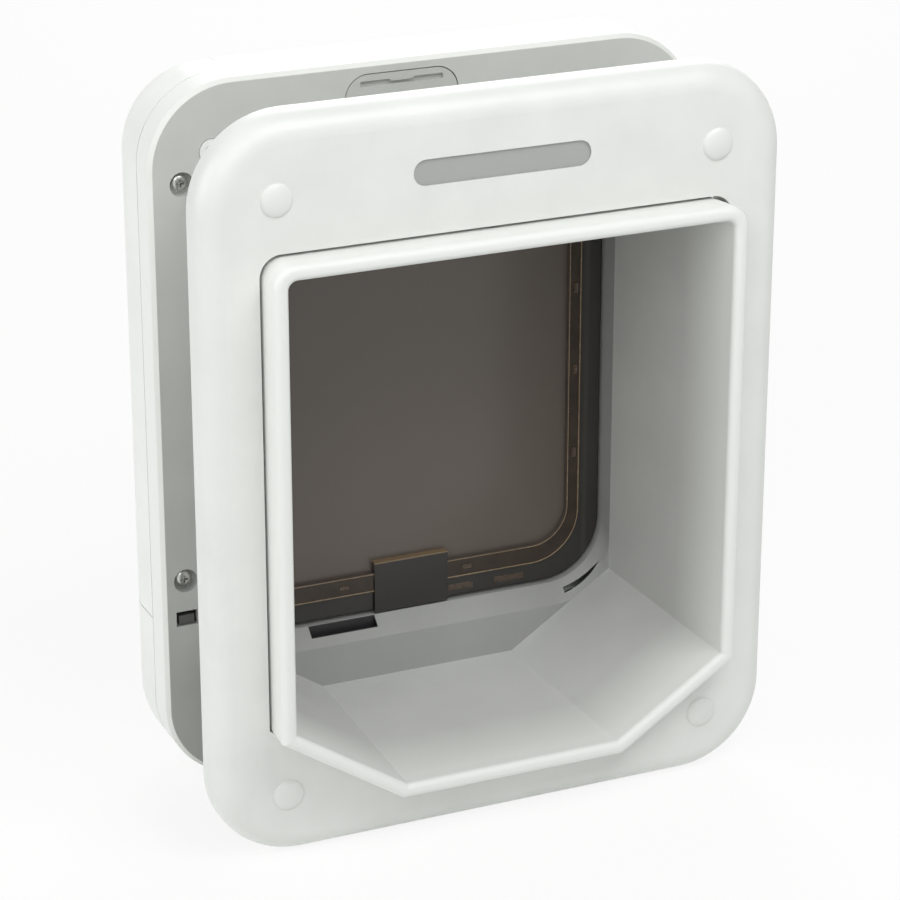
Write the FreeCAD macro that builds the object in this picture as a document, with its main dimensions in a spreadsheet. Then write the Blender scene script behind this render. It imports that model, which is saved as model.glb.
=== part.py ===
import FreeCAD, Part
import os
import Sketcher

# Cat flap for a door: an outdoor frame, a tunnel through the door and an
# indoor housing with a swinging flap, two latches and a battery box.
# X is to the right seen from outdoors, Y points indoors, Z is up.
# The origin is under the middle of the whole flap, at the height of its foot.

Vector = FreeCAD.Vector
Rotation = FreeCAD.Rotation

doc = FreeCAD.newDocument("cat_flap")

SIZES = [
    ("frame_width", 225.0, "outdoor frame, side to side"),
    ("frame_height", 280.0, "outdoor frame, foot to top"),
    ("frame_corner", 34.0, "outline radius of the outdoor frame"),
    ("frame_depth", 14.0, "outdoor frame, front face to the door"),
    ("frame_edge", 9.0, "rounding of the frame's front edge"),
    ("frame_wall", 2.6, "wall of the hollow outdoor frame"),
    ("name_length", 68.0, "blank recess on the frame"),
    ("name_height", 9.5, "height of the blank recess"),
    ("name_drop", 26.0, "recess centre below the frame's top"),
    ("name_depth", 0.8, "depth of the blank recess"),
    ("dome_width", 12.0, "screw domes on the frame"),
    ("dome_rise", 2.0, "how far the domes stand proud"),
    ("door_thickness", 50.0, "door between the frame and the housing"),
    ("lip_stand", 14.0, "tunnel lip in front of the frame"),
    ("lip_width", 182.4, "tunnel lip, outside"),
    ("lip_height", 210.0, "tunnel lip, outside"),
    ("lip_foot", 21.5, "lip's outer underside above the frame's foot"),
    ("lip_wall", 5.6, "width of the rounded lip"),
    ("lip_corner", 8.0, "outer radius of the lip's upper corners"),
    ("lip_round", 2.4, "rounding of the lip's front edges"),
    ("chamfer_across", 42.7, "cut lower corners of the tunnel, across"),
    ("chamfer_rise", 28.2, "cut lower corners of the tunnel, up"),
    ("liner_wall", 2.8, "tunnel wall at its indoor end"),
    ("liner_taper", 2.5, "how much each side closes in indoors"),
    ("liner_gap", 1.5, "clearance round the tunnel in the housing"),
    ("unit_width", 217.0, "indoor housing, side to side"),
    ("unit_height", 274.0, "indoor housing, foot to top"),
    ("unit_corner", 32.0, "outline radius of the indoor housing"),
    ("base_depth", 13.0, "housing base, door face to parting line"),
    ("base_edge", 1.6, "bevel round the base's door face"),
    ("cover_depth", 40.0, "indoor cover behind the parting line"),
    ("cover_round", 28.0, "rounding of the cover's indoor edge"),
    ("shell_wall", 2.5, "wall of the housing mouldings"),
    ("part_gap", 0.5, "visible gap between neighbouring mouldings"),
    ("split_height", 68.0, "line between indoor cover and lower cover"),
    ("flap_set", 11.0, "flap's middle plane behind the parting line"),
    ("flap_width", 164.0, "flap with its seal"),
    ("flap_foot", 50.6, "flap's lower edge above the frame's foot"),
    ("flap_corner", 24.0, "outline radius of the flap's lower corners"),
    ("flap_plate", 3.0, "thickness of the flap panel"),
    ("flap_gap", 0.9, "clearance round the flap"),
    ("rim_side", 67.3, "inner edge of the flap's rib from the middle"),
    ("rim_width", 5.2, "width of the flap's rib at the sides"),
    ("rim_low", 67.0, "inner edge of the flap's rib above the foot"),
    ("rim_fall", 7.6, "width of the flap's rib along the bottom"),
    ("rim_stand", 2.2, "how far the rib stands proud of the panel"),
    ("rim_corner", 15.0, "inner radius of the rib's lower corners"),
    ("seal_depth", 6.0, "thickness of the flap's seal"),
    ("seal_lap", 2.5, "how far the panel reaches into the seal"),
    ("block_width", 31.0, "magnet block at the bottom of the flap"),
    ("block_top", 71.5, "top of the magnet block above the foot"),
    ("block_depth", 9.0, "magnet block, outdoor to indoor face"),
    ("hinge_height", 217.5, "flap's hinge axis above the foot"),
    ("hinge_barrel", 4.2, "radius of the flap's hinge barrel"),
    ("pin_radius", 2.0, "flap hinge pins"),
    ("pin_length", 19.0, "flap hinge pins"),
    ("pin_play", 0.05, "radial play of the hinge pins"),
    ("bush_wall", 2.0, "wall of the hinge bushes"),
    ("bush_length", 7.0, "length of the hinge bushes"),
    ("ceiling", 222.5, "inside top of the tunnel at the flap"),
    ("opening_top", 4.0, "radius of the opening's upper corners"),
    ("ridge_height", 43.0, "front edge of the sill above the foot"),
    ("sill_run", 7.0, "depth of the sill's slope"),
    ("surround_back", 20.5, "indoor end of the flap surround behind the parting line"),
    ("latch_width", 26.6, "latch blades, side to side"),
    ("latch_thick", 2.6, "thickness of the latch blades"),
    ("latch_shift", 29.6, "latch blade centres from the middle"),
    ("latch_travel", 10.0, "how far a latch blade rises"),
    ("latch_gap", 0.4, "clearance of a latch blade in its slot"),
    ("exit_clear", 1.7, "exit latch to the flap's seal"),
    ("entry_clear", 0.8, "entry latch to the flap's magnet block"),
    ("fix_side", 84.5, "fixing screws from the middle"),
    ("fix_low", 25.4, "lower fixing screws above the foot"),
    ("fix_high", 251.0, "upper fixing screws above the foot"),
    ("lid_width", 147.5, "battery lid, side to side"),
    ("lid_low", 252.0, "battery lid's lower edge on the indoor face"),
    ("case_side_high", 96.1, "upper case screws from the middle"),
    ("case_high", 240.1, "upper case screws above the foot"),
    ("case_side_low", 99.5, "lower case screws from the middle"),
    ("case_low", 87.1, "lower case screws above the foot"),
    ("recess_radius", 4.6, "round recess of a case screw"),
    ("recess_depth", 4.0, "depth of that recess"),
    ("window_side", 99.4, "catch windows from the middle"),
    ("window_width", 8.4, "catch windows, across"),
    ("window_height", 71.9, "catch windows above the foot"),
    ("nose_radius", 4.6, "screw tube's nose in the base"),
    ("tube_radius", 5.8, "screw tube in the cover"),
    ("head_bore", 4.8, "bore for the fixing screw's head"),
    ("hatch_shift", -11.0, "wiring hatch's middle from the flap's middle"),
    ("hatch_width", 44.0, "wiring hatch, across"),
    ("hatch_height", 26.0, "wiring hatch, up"),
    ("hatch_drop", 4.5, "hatch's top below the housing's top"),
    ("hatch_corner", 9.0, "corner radius of the hatch"),
    ("slot_drop", 3.4, "hatch's slot below its top"),
    ("slot_width", 32.4, "hatch's slot, across"),
    ("flange_half", 91.5, "flap surround's flange from the middle"),
    ("flange_low", 36.0, "flange's lower edge above the foot"),
    ("flange_high", 228.5, "flange's upper edge above the foot"),
    ("flange_screw", 94.8, "surround screws from the middle"),
    ("surround_low", 110.0, "lower surround screws above the foot"),
    ("surround_high", 203.0, "upper surround screws above the foot"),
    ("magnet_width", 24.0, "flap magnet, across"),
    ("return_grow", 2.0, "cover's opening outside the flap's opening"),
    ("lid_set", 11.0, "battery lid's front edge behind the parting line"),
    ("lid_gap", 0.4, "gap round the battery lid"),
    ("dial_radius", 11.5, "lock dial"),
    ("dial_height", 27.0, "lock dial's axis above the foot"),
    ("dial_gap", 0.5, "gap round the dial in the cover"),
    ("shaft_radius", 3.0, "lock dial's shaft"),
    ("spigot_radius", 2.2, "end of the shaft that turns in the latch carrier"),
    ("turn_play", 0.07, "radial play of the dial's shaft"),
    ("pinion_teeth", 10.0, "teeth of the lock pinion"),
    ("mesh_play", 0.14, "how much thinner each meshing tooth is on each side"),
    ("step_wall", 2.0, "plate behind the end of the tunnel floor"),
    ("latch_rest", 6.0, "latch blades' rest below the sill"),
    ("carrier_screw", 48.0, "latch carrier's screws from the middle"),
    ("carrier_height", 13.0, "latch carrier's screws above the foot"),
    ("plunger_radius", 3.0, "solenoid plunger"),
    ("case_head", 3.25, "head radius of a case screw"),
    ("case_shank", 1.35, "shank radius of a case screw"),
    ("case_length", 20.0, "length of a case screw under its head"),
    ("fix_head", 4.2, "head radius of a fixing screw"),
    ("fix_shank", 2.4, "shank radius of a fixing screw"),
    ("fix_bite", 8.5, "how far a fixing screw goes into the frame's boss"),
    ("board_half", 72.0, "control board from the middle"),
    ("board_low", 229.2, "control board's lower edge above the foot"),
    ("board_high", 271.0, "control board's upper edge above the foot"),
    ("board_thick", 1.6, "control board"),
    ("post_side", 64.0, "control board's screws from the middle"),
    ("post_height", 251.0, "control board's screws above the foot"),
    ("button_side", 60.0, "learn button from the middle"),
    ("button_height", 233.6, "learn button above the foot"),
    ("button_radius", 3.8, "learn button"),
    ("lens_side", 46.0, "status lens from the middle"),
    ("tray_floor", 239.5, "battery tray's underside above the foot"),
    ("tray_wall", 1.8, "wall of the battery tray"),
    ("cell_plane", 9.6, "cells' axes behind the lid's front edge"),
    ("coil_space", 1.4, "space between the tunnel and the antenna coil"),
    ("coil_wide", 4.0, "width of the antenna coil's winding"),
    ("coil_deep", 6.0, "depth of the antenna coil's winding"),
    ("cell_radius", 7.25, "AA cells"),
    ("cell_length", 50.5, "AA cells"),
    ("cell_space", 5.1, "room for the contacts in a deck of cells"),
]

sheet = doc.addObject("Spreadsheet::Sheet", "sizes")
for row, (alias, number, note) in enumerate(SIZES, start=1):
    sheet.set(f"A{row}", alias)
    sheet.set(f"B{row}", str(number))
    sheet.setAlias(f"B{row}", alias)
    sheet.set(f"C{row}", note)
doc.recompute()


class Cells:
    """Gives the expression of a sheet cell by its alias."""

    def __getattr__(self, alias):
        return "sizes." + alias


S = Cells()
NODES = []

# Planes across the flap, from the lip outdoors to the cover indoors.
DEPTH = (f"({S.lip_stand} + {S.frame_depth} + {S.door_thickness}"
         f" + {S.base_depth} + {S.cover_depth})")
LIP_FRONT = f"(-{DEPTH} / 2)"
FRAME_FRONT = f"({LIP_FRONT} + {S.lip_stand})"
FRAME_BACK = f"({FRAME_FRONT} + {S.frame_depth})"
BASE_FRONT = f"({FRAME_BACK} + {S.door_thickness})"
BASE_INSIDE = f"({BASE_FRONT} + {S.shell_wall})"
PARTING = f"({BASE_FRONT} + {S.base_depth})"
COVER_FRONT = f"({PARTING} + {S.part_gap})"
COVER_BACK = f"({PARTING} + {S.cover_depth})"
COVER_INSIDE = f"({COVER_BACK} - {S.shell_wall})"
FLAP_PLANE = f"({PARTING} + {S.flap_set})"
SURROUND_BACK = f"({PARTING} + {S.surround_back})"

# Heights of the housing, which is centred on the frame.
UNIT_FOOT = f"(({S.frame_height} - {S.unit_height}) / 2)"
UNIT_TOP = f"(({S.frame_height} + {S.unit_height}) / 2)"
SILL = f"({S.flap_foot} - {S.flap_gap})"
OPENING_HALF = f"({S.flap_width} / 2 + {S.flap_gap})"
FIX_HEIGHTS = (S.fix_low, S.fix_high)
SIDES = (-1, 1)

# Inside of the tunnel where it meets the flap surround.
LINER_HALF = f"({S.lip_width} / 2 - {S.lip_wall} - {S.liner_taper})"
LINER_LOW = f"({S.lip_foot} + {S.lip_wall} - 0.6)"
LINER_HIGH = f"{S.ceiling}"

# Screws, each a side and a height above the foot, and the wiring hatch.
CASE_SCREWS = ((S.case_side_high, S.case_high), (S.case_side_low, S.case_low))
SCREW_RECESS = f"({BASE_FRONT} + {S.recess_depth})"
HATCH_LEFT = f"({S.hatch_shift} - {S.hatch_width} / 2)"
HATCH_RIGHT = f"({S.hatch_shift} + {S.hatch_width} / 2)"
HATCH_TOP = f"({UNIT_TOP} - {S.hatch_drop})"
HATCH_LOW = f"({HATCH_TOP} - {S.hatch_height})"
SURROUND_SCREWS = (S.surround_low, S.surround_high)

# Latches, which stand just outdoors and just indoors of the flap, and their drives.
LATCH_TOP = f"({SILL} - {S.latch_rest})"
PITCH_RADIUS = f"({S.latch_travel} * 2 / pi)"
TOOTH_PITCH = f"({S.latch_travel} * 4 / {S.pinion_teeth})"
EXIT_FRONT = f"({FLAP_PLANE} - {S.seal_depth} / 2 - {S.exit_clear} - {S.latch_thick})"
ENTRY_FRONT = f"({FLAP_PLANE} + {S.block_depth} / 2 + {S.entry_clear})"
ENTRY_MIDDLE = f"({ENTRY_FRONT} + {S.latch_thick} / 2)"
SOLENOID_LOW = "13"
SOLENOID_HIGH = f"({LATCH_TOP} - 15.5)"
SOLENOID_FRONT = f"({ENTRY_MIDDLE} - 8)"
SOLENOID_BACK = f"({ENTRY_MIDDLE} + 8)"
RACK_BACK = f"({PITCH_RADIUS} + 5.6)"

# The flap's panel and its pins.
PANEL_HALF = f"({S.rim_side} + {S.rim_width} + {S.seal_lap} + 1)"
PIN_INSIDE = f"({PANEL_HALF} - {OPENING_HALF} - {S.bush_length} + {S.pin_length} + 1)"

# The covers' inner ends, the battery lid's front edge and the cells.
LID_SPLIT = f"({PARTING} + {S.lid_set})"
TUBE_END = f"({COVER_BACK} - 4.2)"
BOSS_END = f"({COVER_BACK} - 17)"
HEAD_SEAT = f"({PARTING} + 5.5)"
WIDE = f"({S.unit_width} / 2 + 5)"
CELL_Y = f"({LID_SPLIT} + {S.cell_plane})"
DECKS = ((-1, f"({S.tray_floor} + {S.tray_wall} + {S.cell_radius})"),
         (1, f"({S.tray_floor} + {S.tray_wall} + 3 * {S.cell_radius})"))
PLATE = "0.4"


def value(expression):
    """The number that an expression gives."""
    return float(sheet.evalExpression(expression))


def new_body(label):
    """A PartDesign body that becomes the node of that name."""
    body = doc.addObject("PartDesign::Body", label)
    body.Label = label
    NODES.append(body)
    return body


def new_sketch(body, name, y):
    """A sketch across the flap at height y along the Y axis."""
    plane = next(item for item in body.Origin.OriginFeatures if item.Role == "XZ_Plane")
    sketch = body.newObject("Sketcher::SketchObject", name)
    sketch.AttachmentSupport = [(plane, "")]
    sketch.MapMode = "FlatFace"
    sketch.setExpression("AttachmentOffset.Base.z", f"-{y}")
    return sketch


def bind(sketch, constraint, expression):
    """Adds a constraint whose size follows the expression."""
    index = sketch.addConstraint(constraint)
    sketch.setExpression(f"Constraints[{index}]", expression)


def fix_point(sketch, element, end, x, z):
    """Ties a point of the sketch to the expressions x and z."""
    bind(sketch, Sketcher.Constraint("DistanceX", -1, 1, element, end, value(x)), x)
    bind(sketch, Sketcher.Constraint("DistanceY", -1, 1, element, end, value(z)), z)


def polygon(sketch, points):
    """A closed outline through the points, each an (x, z) pair of expressions."""
    spots = [Vector(value(x), value(z), 0) for x, z in points]
    first = sketch.GeometryCount
    count = len(spots)
    for i in range(count):
        sketch.addGeometry(Part.LineSegment(spots[i], spots[(i + 1) % count]), False)
    for i in range(count):
        following = first + (i + 1) % count
        sketch.addConstraint(Sketcher.Constraint("Coincident", first + i, 2, following, 1))
    for i, (x, z) in enumerate(points):
        fix_point(sketch, first + i, 1, x, z)


def rectangle(sketch, left, right, low, high):
    """A sharp rectangle between four expressions."""
    polygon(sketch, [(left, low), (right, low), (right, high), (left, high)])


def rounded_rectangle(sketch, left, right, low, high, radius, top_radius=None):
    """A rectangle with round corners; the upper two may have a radius of their own."""
    x0, x1, z0, z1, r = (value(item) for item in (left, right, low, high, radius))
    top = r if top_radius is None else value(top_radius)
    first = sketch.GeometryCount
    corners = [(x1 - r, z0 + r, r, -90), (x1 - top, z1 - top, top, 0),
               (x0 + top, z1 - top, top, 90), (x0 + r, z0 + r, r, 180)]
    lines = [((x0 + r, z0), (x1 - r, z0)), ((x1, z0 + r), (x1, z1 - top)),
             ((x1 - top, z1), (x0 + top, z1)), ((x0, z1 - top), (x0, z0 + r))]
    turn = FreeCAD.Units.Quantity("1 deg").getValueAs("rad").Value
    for (start, end), (x, z, corner, angle) in zip(lines, corners):
        sketch.addGeometry(Part.LineSegment(Vector(*start, 0), Vector(*end, 0)), False)
        whole = Part.Circle(Vector(x, z, 0), Vector(0, 0, 1), corner)
        sketch.addGeometry(Part.ArcOfCircle(whole, angle * turn, (angle + 90) * turn), False)
    for i in range(8):
        following = first + (i + 1) % 8
        sketch.addConstraint(Sketcher.Constraint("Tangent", first + i, 2, following, 1))
    for i, direction in enumerate(("Horizontal", "Vertical", "Horizontal", "Vertical")):
        sketch.addConstraint(Sketcher.Constraint(direction, first + 2 * i))
    sketch.addConstraint(Sketcher.Constraint("Equal", first + 1, first + 7))
    sketch.addConstraint(Sketcher.Constraint("Equal", first + 3, first + 5))
    bind(sketch, Sketcher.Constraint("Radius", first + 1, r), radius)
    bind(sketch, Sketcher.Constraint("Radius", first + 3, top), top_radius or radius)
    bind(sketch, Sketcher.Constraint("DistanceY", -1, 1, first, 1, z0), low)
    bind(sketch, Sketcher.Constraint("DistanceX", -1, 1, first + 2, 1, x1), right)
    bind(sketch, Sketcher.Constraint("DistanceY", -1, 1, first + 4, 1, z1), high)
    bind(sketch, Sketcher.Constraint("DistanceX", -1, 1, first + 6, 1, x0), left)


def circle(sketch, x, z, radius):
    """A circle of the given radius about (x, z)."""
    centre = Vector(value(x), value(z), 0)
    index = sketch.addGeometry(Part.Circle(centre, Vector(0, 0, 1), value(radius)), False)
    bind(sketch, Sketcher.Constraint("Radius", index, value(radius)), radius)
    fix_point(sketch, index, 3, x, z)


def tunnel_outline(sketch, half, low, high, grow):
    """The tunnel's section: a rectangle whose lower corners are cut off.

    grow is how far the outline lies outside the tunnel's inner face, which
    keeps the cut corners parallel to it.
    """
    turn = f"atan({S.chamfer_rise} / {S.chamfer_across})"
    across = f"({S.chamfer_across} + {grow} * (1 - tan({turn} / 2)))"
    rise = f"({S.chamfer_rise} + {grow} * (1 - tan((90 deg - {turn}) / 2)))"
    polygon(sketch, [
        (f"-({half} - {across})", low), (f"({half} - {across})", low),
        (half, f"({low} + {rise})"), (half, high),
        (f"-{half}", high), (f"-{half}", f"({low} + {rise})"),
    ])


def pad(body, name, start, end, draw):
    """Material between two planes across the flap, with the outline that draw makes."""
    sketch = new_sketch(body, name + "_outline", start)
    draw(sketch)
    feature = body.newObject("PartDesign::Pad", name)
    feature.Profile = sketch
    feature.setExpression("Length", f"{end} - {start}")
    feature.Reversed = True
    doc.recompute()
    return feature


def pocket(body, name, start, end, draw):
    """A cut between two planes; it runs outdoors if end lies before start."""
    sketch = new_sketch(body, name + "_outline", start)
    draw(sketch)
    outdoors = value(end) < value(start)
    feature = body.newObject("PartDesign::Pocket", name)
    feature.Profile = sketch
    feature.setExpression("Length", f"{start} - {end}" if outdoors else f"{end} - {start}")
    feature.Reversed = outdoors
    doc.recompute()
    return feature


def loft(body, name, kind, start, end, draw_start, draw_end):
    """Material or a cut that changes from one outline to another."""
    first = new_sketch(body, name + "_start", start)
    draw_start(first)
    second = new_sketch(body, name + "_end", end)
    draw_end(second)
    doc.recompute()
    feature = body.newObject(f"PartDesign::{kind}Loft", name)
    feature.Profile = first
    feature.Sections = [second]
    feature.Ruled = True
    doc.recompute()
    return feature


def round_edges(body, name, base, radius, wanted, kind="Fillet"):
    """Rounds or bevels the edges of a feature that the test picks."""
    names = [f"Edge{i}" for i, edge in enumerate(base.Shape.Edges, start=1) if wanted(edge)]
    feature = body.newObject(f"PartDesign::{kind}", name)
    feature.Base = (base, names)
    feature.setExpression("Radius" if kind == "Fillet" else "Size", radius)
    doc.recompute()
    return feature


def in_plane(edge, y):
    """True for an edge that lies in the plane at y."""
    box = edge.BoundBox
    return abs(box.YMin - y) < 0.01 and abs(box.YMax - y) < 0.01


def place(item, x, y, z, axis="Z"):
    """Puts a primitive at three expressions, with its own axis along one of the three."""
    turns = {"X": Rotation(Vector(0, 1, 0), 90), "Y": Rotation(Vector(1, 0, 0), -90), "Z": Rotation()}
    item.Placement = FreeCAD.Placement(Vector(value(x), value(y), value(z)), turns[axis])
    for letter, expression in zip("xyz", (x, y, z)):
        item.setExpression(f"Placement.Base.{letter}", expression)


def set_box(item, x0, x1, y0, y1, z0, z1):
    """Sizes and places a box between six expressions."""
    item.setExpression("Length", f"{x1} - {x0}")
    item.setExpression("Width", f"{y1} - {y0}")
    item.setExpression("Height", f"{z1} - {z0}")
    place(item, x0, y0, z0)


def block(body, name, kind, *limits):
    """A box added to or cut from a body."""
    feature = body.newObject(f"PartDesign::{kind}Box", name)
    set_box(feature, *limits)
    doc.recompute()
    return feature


def pair_of_blocks(body, name, kind, inner, outer, *limits):
    """The same box added to or cut from a body on both sides of the middle."""
    block(body, name, kind, inner, outer, *limits)
    block(body, name, kind, f"(-{outer})", f"(-{inner})", *limits)


def drum(body, name, kind, axis, radius, length, x, y, z):
    """A cylinder added to or cut from a body."""
    feature = body.newObject(f"PartDesign::{kind}Cylinder", name)
    feature.setExpression("Radius", radius)
    feature.setExpression("Height", length)
    place(feature, x, y, z, axis)
    doc.recompute()
    return feature


def box(name, *limits):
    """A plain box."""
    item = doc.addObject("Part::Box", name)
    set_box(item, *limits)
    return item


def cylinder(name, axis, radius, length, x, y, z):
    """A plain cylinder."""
    item = doc.addObject("Part::Cylinder", name)
    item.setExpression("Radius", radius)
    item.setExpression("Height", length)
    place(item, x, y, z, axis)
    return item


def fuse(name, items):
    """Several primitives as one solid."""
    item = doc.addObject("Part::MultiFuse", name)
    item.Shapes = items
    return item


def cut(name, base, tool):
    """One shape less another."""
    item = doc.addObject("Part::Cut", name)
    item.Base = base
    item.Tool = tool
    return item


def common(name, base, tool):
    """What two shapes share."""
    item = doc.addObject("Part::Common", name)
    item.Base = base
    item.Tool = tool
    return item


def mirrored(name, source):
    """The same piece on the other side of the middle."""
    item = doc.addObject("Part::Mirroring", name)
    item.Source = source
    item.Normal = Vector(1, 0, 0)
    return item


def node(label, item):
    """Makes a document object the node of that name."""
    item.Label = label
    NODES.append(item)
    return item


def group(label, items):
    """Like pieces as one node of separate solids."""
    item = doc.addObject("Part::Compound", label)
    item.Links = items
    return node(label, item)


def frame_outline(sketch, inset, radius):
    rounded_rectangle(
        sketch, f"(-{S.frame_width} / 2 + {inset})", f"({S.frame_width} / 2 - {inset})",
        f"({inset})", f"({S.frame_height} - {inset})", radius)


def unit_outline(sketch, inset):
    rounded_rectangle(
        sketch, f"(-{S.unit_width} / 2 + {inset})", f"({S.unit_width} / 2 - {inset})",
        f"({UNIT_FOOT} + {inset})", f"({UNIT_TOP} - {inset})", f"({S.unit_corner} - {inset})")


def lip_outline(sketch, grow):
    """The lip's outer outline, grown by an expression."""
    tunnel_outline(
        sketch, f"({S.lip_width} / 2 + {grow})", f"({S.lip_foot} - {grow})",
        f"({S.lip_foot} + {S.lip_height} + {grow})", f"({S.lip_wall} + {grow})")


def liner_outline(sketch, grow):
    """The tunnel's outline at its indoor end, grown by an expression."""
    tunnel_outline(
        sketch, f"({LINER_HALF} + {grow})", f"({LINER_LOW} - {grow})",
        f"({LINER_HIGH} + {grow})", f"({grow})")


def make_outer_frame():
    body = new_body("outer_frame")
    plate = pad(body, "frame_plate", FRAME_FRONT, FRAME_BACK,
                lambda sketch: frame_outline(sketch, "0", S.frame_corner))
    front = value(FRAME_FRONT)
    pillow = round_edges(body, "frame_pillow", plate, S.frame_edge, lambda edge: in_plane(edge, front))
    back = value(FRAME_BACK)
    round_edges(body, "frame_back_edge", pillow, "1.2", lambda edge: in_plane(edge, back))
    for side in SIDES:
        for i, height in enumerate(FIX_HEIGHTS):
            dome = body.newObject("PartDesign::AdditiveEllipsoid", "screw_dome")
            dome.setExpression("Radius1", S.dome_rise)
            dome.setExpression("Radius2", f"{S.dome_width} / 2")
            dome.setExpression("Radius3", f"{S.dome_width} / 2")
            place(dome, f"{side} * {S.fix_side}", FRAME_FRONT, height, "Y")
            doc.recompute()

    def draw_hollow(sketch):
        frame_outline(sketch, S.frame_wall, f"({S.frame_corner} - {S.frame_wall})")
        lip_outline(sketch, f"({S.part_gap} + {S.frame_wall})")
        for side in SIDES:
            for height in FIX_HEIGHTS:
                circle(sketch, f"{side} * {S.fix_side}", height, "6")

    pocket(body, "frame_hollow", FRAME_BACK, f"({FRAME_FRONT} + {S.frame_wall} + 1)", draw_hollow)
    opening = pocket(body, "frame_opening", f"({FRAME_FRONT} - 1)", f"({FRAME_BACK} + 1)",
                     lambda sketch: lip_outline(sketch, "0.1"))
    top = value(f"{S.lip_foot} + {S.lip_height}")
    half = value(f"{S.lip_width} / 2")

    def upper_corner(edge):
        box = edge.BoundBox
        return (box.YLength > 5 and box.XLength < 0.01 and box.ZLength < 0.01
                and abs(box.ZMin - top) < 1 and abs(abs(box.XMin) - half) < 1)

    round_edges(body, "frame_opening_corners", opening, S.lip_corner, upper_corner)
    recess = f"({S.frame_height} - {S.name_drop})"
    pocket(body, "blank_recess", FRAME_FRONT, f"({FRAME_FRONT} + {S.name_depth})",
           lambda sketch: rounded_rectangle(
               sketch, f"(-{S.name_length} / 2)", f"({S.name_length} / 2)",
               f"({recess} - {S.name_height} / 2)", f"({recess} + {S.name_height} / 2)",
               f"({S.name_height} * 0.49)"))

    def draw_screw_holes(sketch):
        for side in SIDES:
            for height in FIX_HEIGHTS:
                circle(sketch, f"{side} * {S.fix_side}", height, f"({S.fix_shank} + 0.05)")

    pocket(body, "blind_screw_holes", FRAME_BACK, f"({FRAME_FRONT} + 3)", draw_screw_holes)


def make_tunnel_liner():
    body = new_body("tunnel_liner")
    loft(body, "tunnel_outside", "Additive", LIP_FRONT, PARTING,
         lambda sketch: lip_outline(sketch, "0"),
         lambda sketch: liner_outline(sketch, S.liner_wall))
    tube = loft(body, "tunnel_inside", "Subtractive", LIP_FRONT, PARTING,
                lambda sketch: lip_outline(sketch, f"(-{S.lip_wall})"),
                lambda sketch: liner_outline(sketch, "0"))
    middle = value(f"{S.lip_foot} + {S.lip_height} / 2")

    def upper_corner(edge, outer):
        box = edge.BoundBox
        half = max(abs(box.XMin), abs(box.XMax))
        is_outer = half > value(f"{S.lip_width} / 2") - 1
        return box.YLength > 50 and box.ZMin > middle and is_outer == outer

    tube = round_edges(body, "lip_outer_corners", tube, S.lip_corner, lambda edge: upper_corner(edge, True))
    tube = round_edges(body, "lip_inner_corners", tube, f"({S.lip_corner} - {S.lip_wall} + 1)",
                       lambda edge: upper_corner(edge, False))
    lip = value(LIP_FRONT)
    round_edges(body, "lip_front", tube, S.lip_round, lambda edge: in_plane(edge, lip))
    flange = f"({PARTING} - {S.shell_wall})"

    def draw_flange(sketch):
        liner_outline(sketch, f"({S.liner_wall} + 5)")
        liner_outline(sketch, f"({S.liner_wall} - 0.5)")

    pad(body, "tunnel_flange", flange, PARTING, draw_flange)


def at_case_screws(sketch, radius):
    """A circle at each case screw."""
    for side in SIDES:
        for across, height in CASE_SCREWS:
            circle(sketch, f"{side} * {across}", height, radius)


def at_surround_screws(sketch, radius):
    """A circle at each screw of the flap surround."""
    for side in SIDES:
        for height in SURROUND_SCREWS:
            circle(sketch, f"{side} * {S.flange_screw}", height, radius)


def at_board_screws(sketch, radius):
    """A circle at each screw of the control board."""
    for side in SIDES:
        circle(sketch, f"{side} * {S.post_side}", S.post_height, radius)


def at_carrier_screws(sketch, radius):
    """A circle at each screw of the latch carrier."""
    for side in SIDES:
        circle(sketch, f"{side} * {S.carrier_screw}", S.carrier_height, radius)


def at_fixing_screws(sketch, radius):
    """A circle at each fixing screw."""
    for side in SIDES:
        for height in FIX_HEIGHTS:
            circle(sketch, f"{side} * {S.fix_side}", height, radius)


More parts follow.
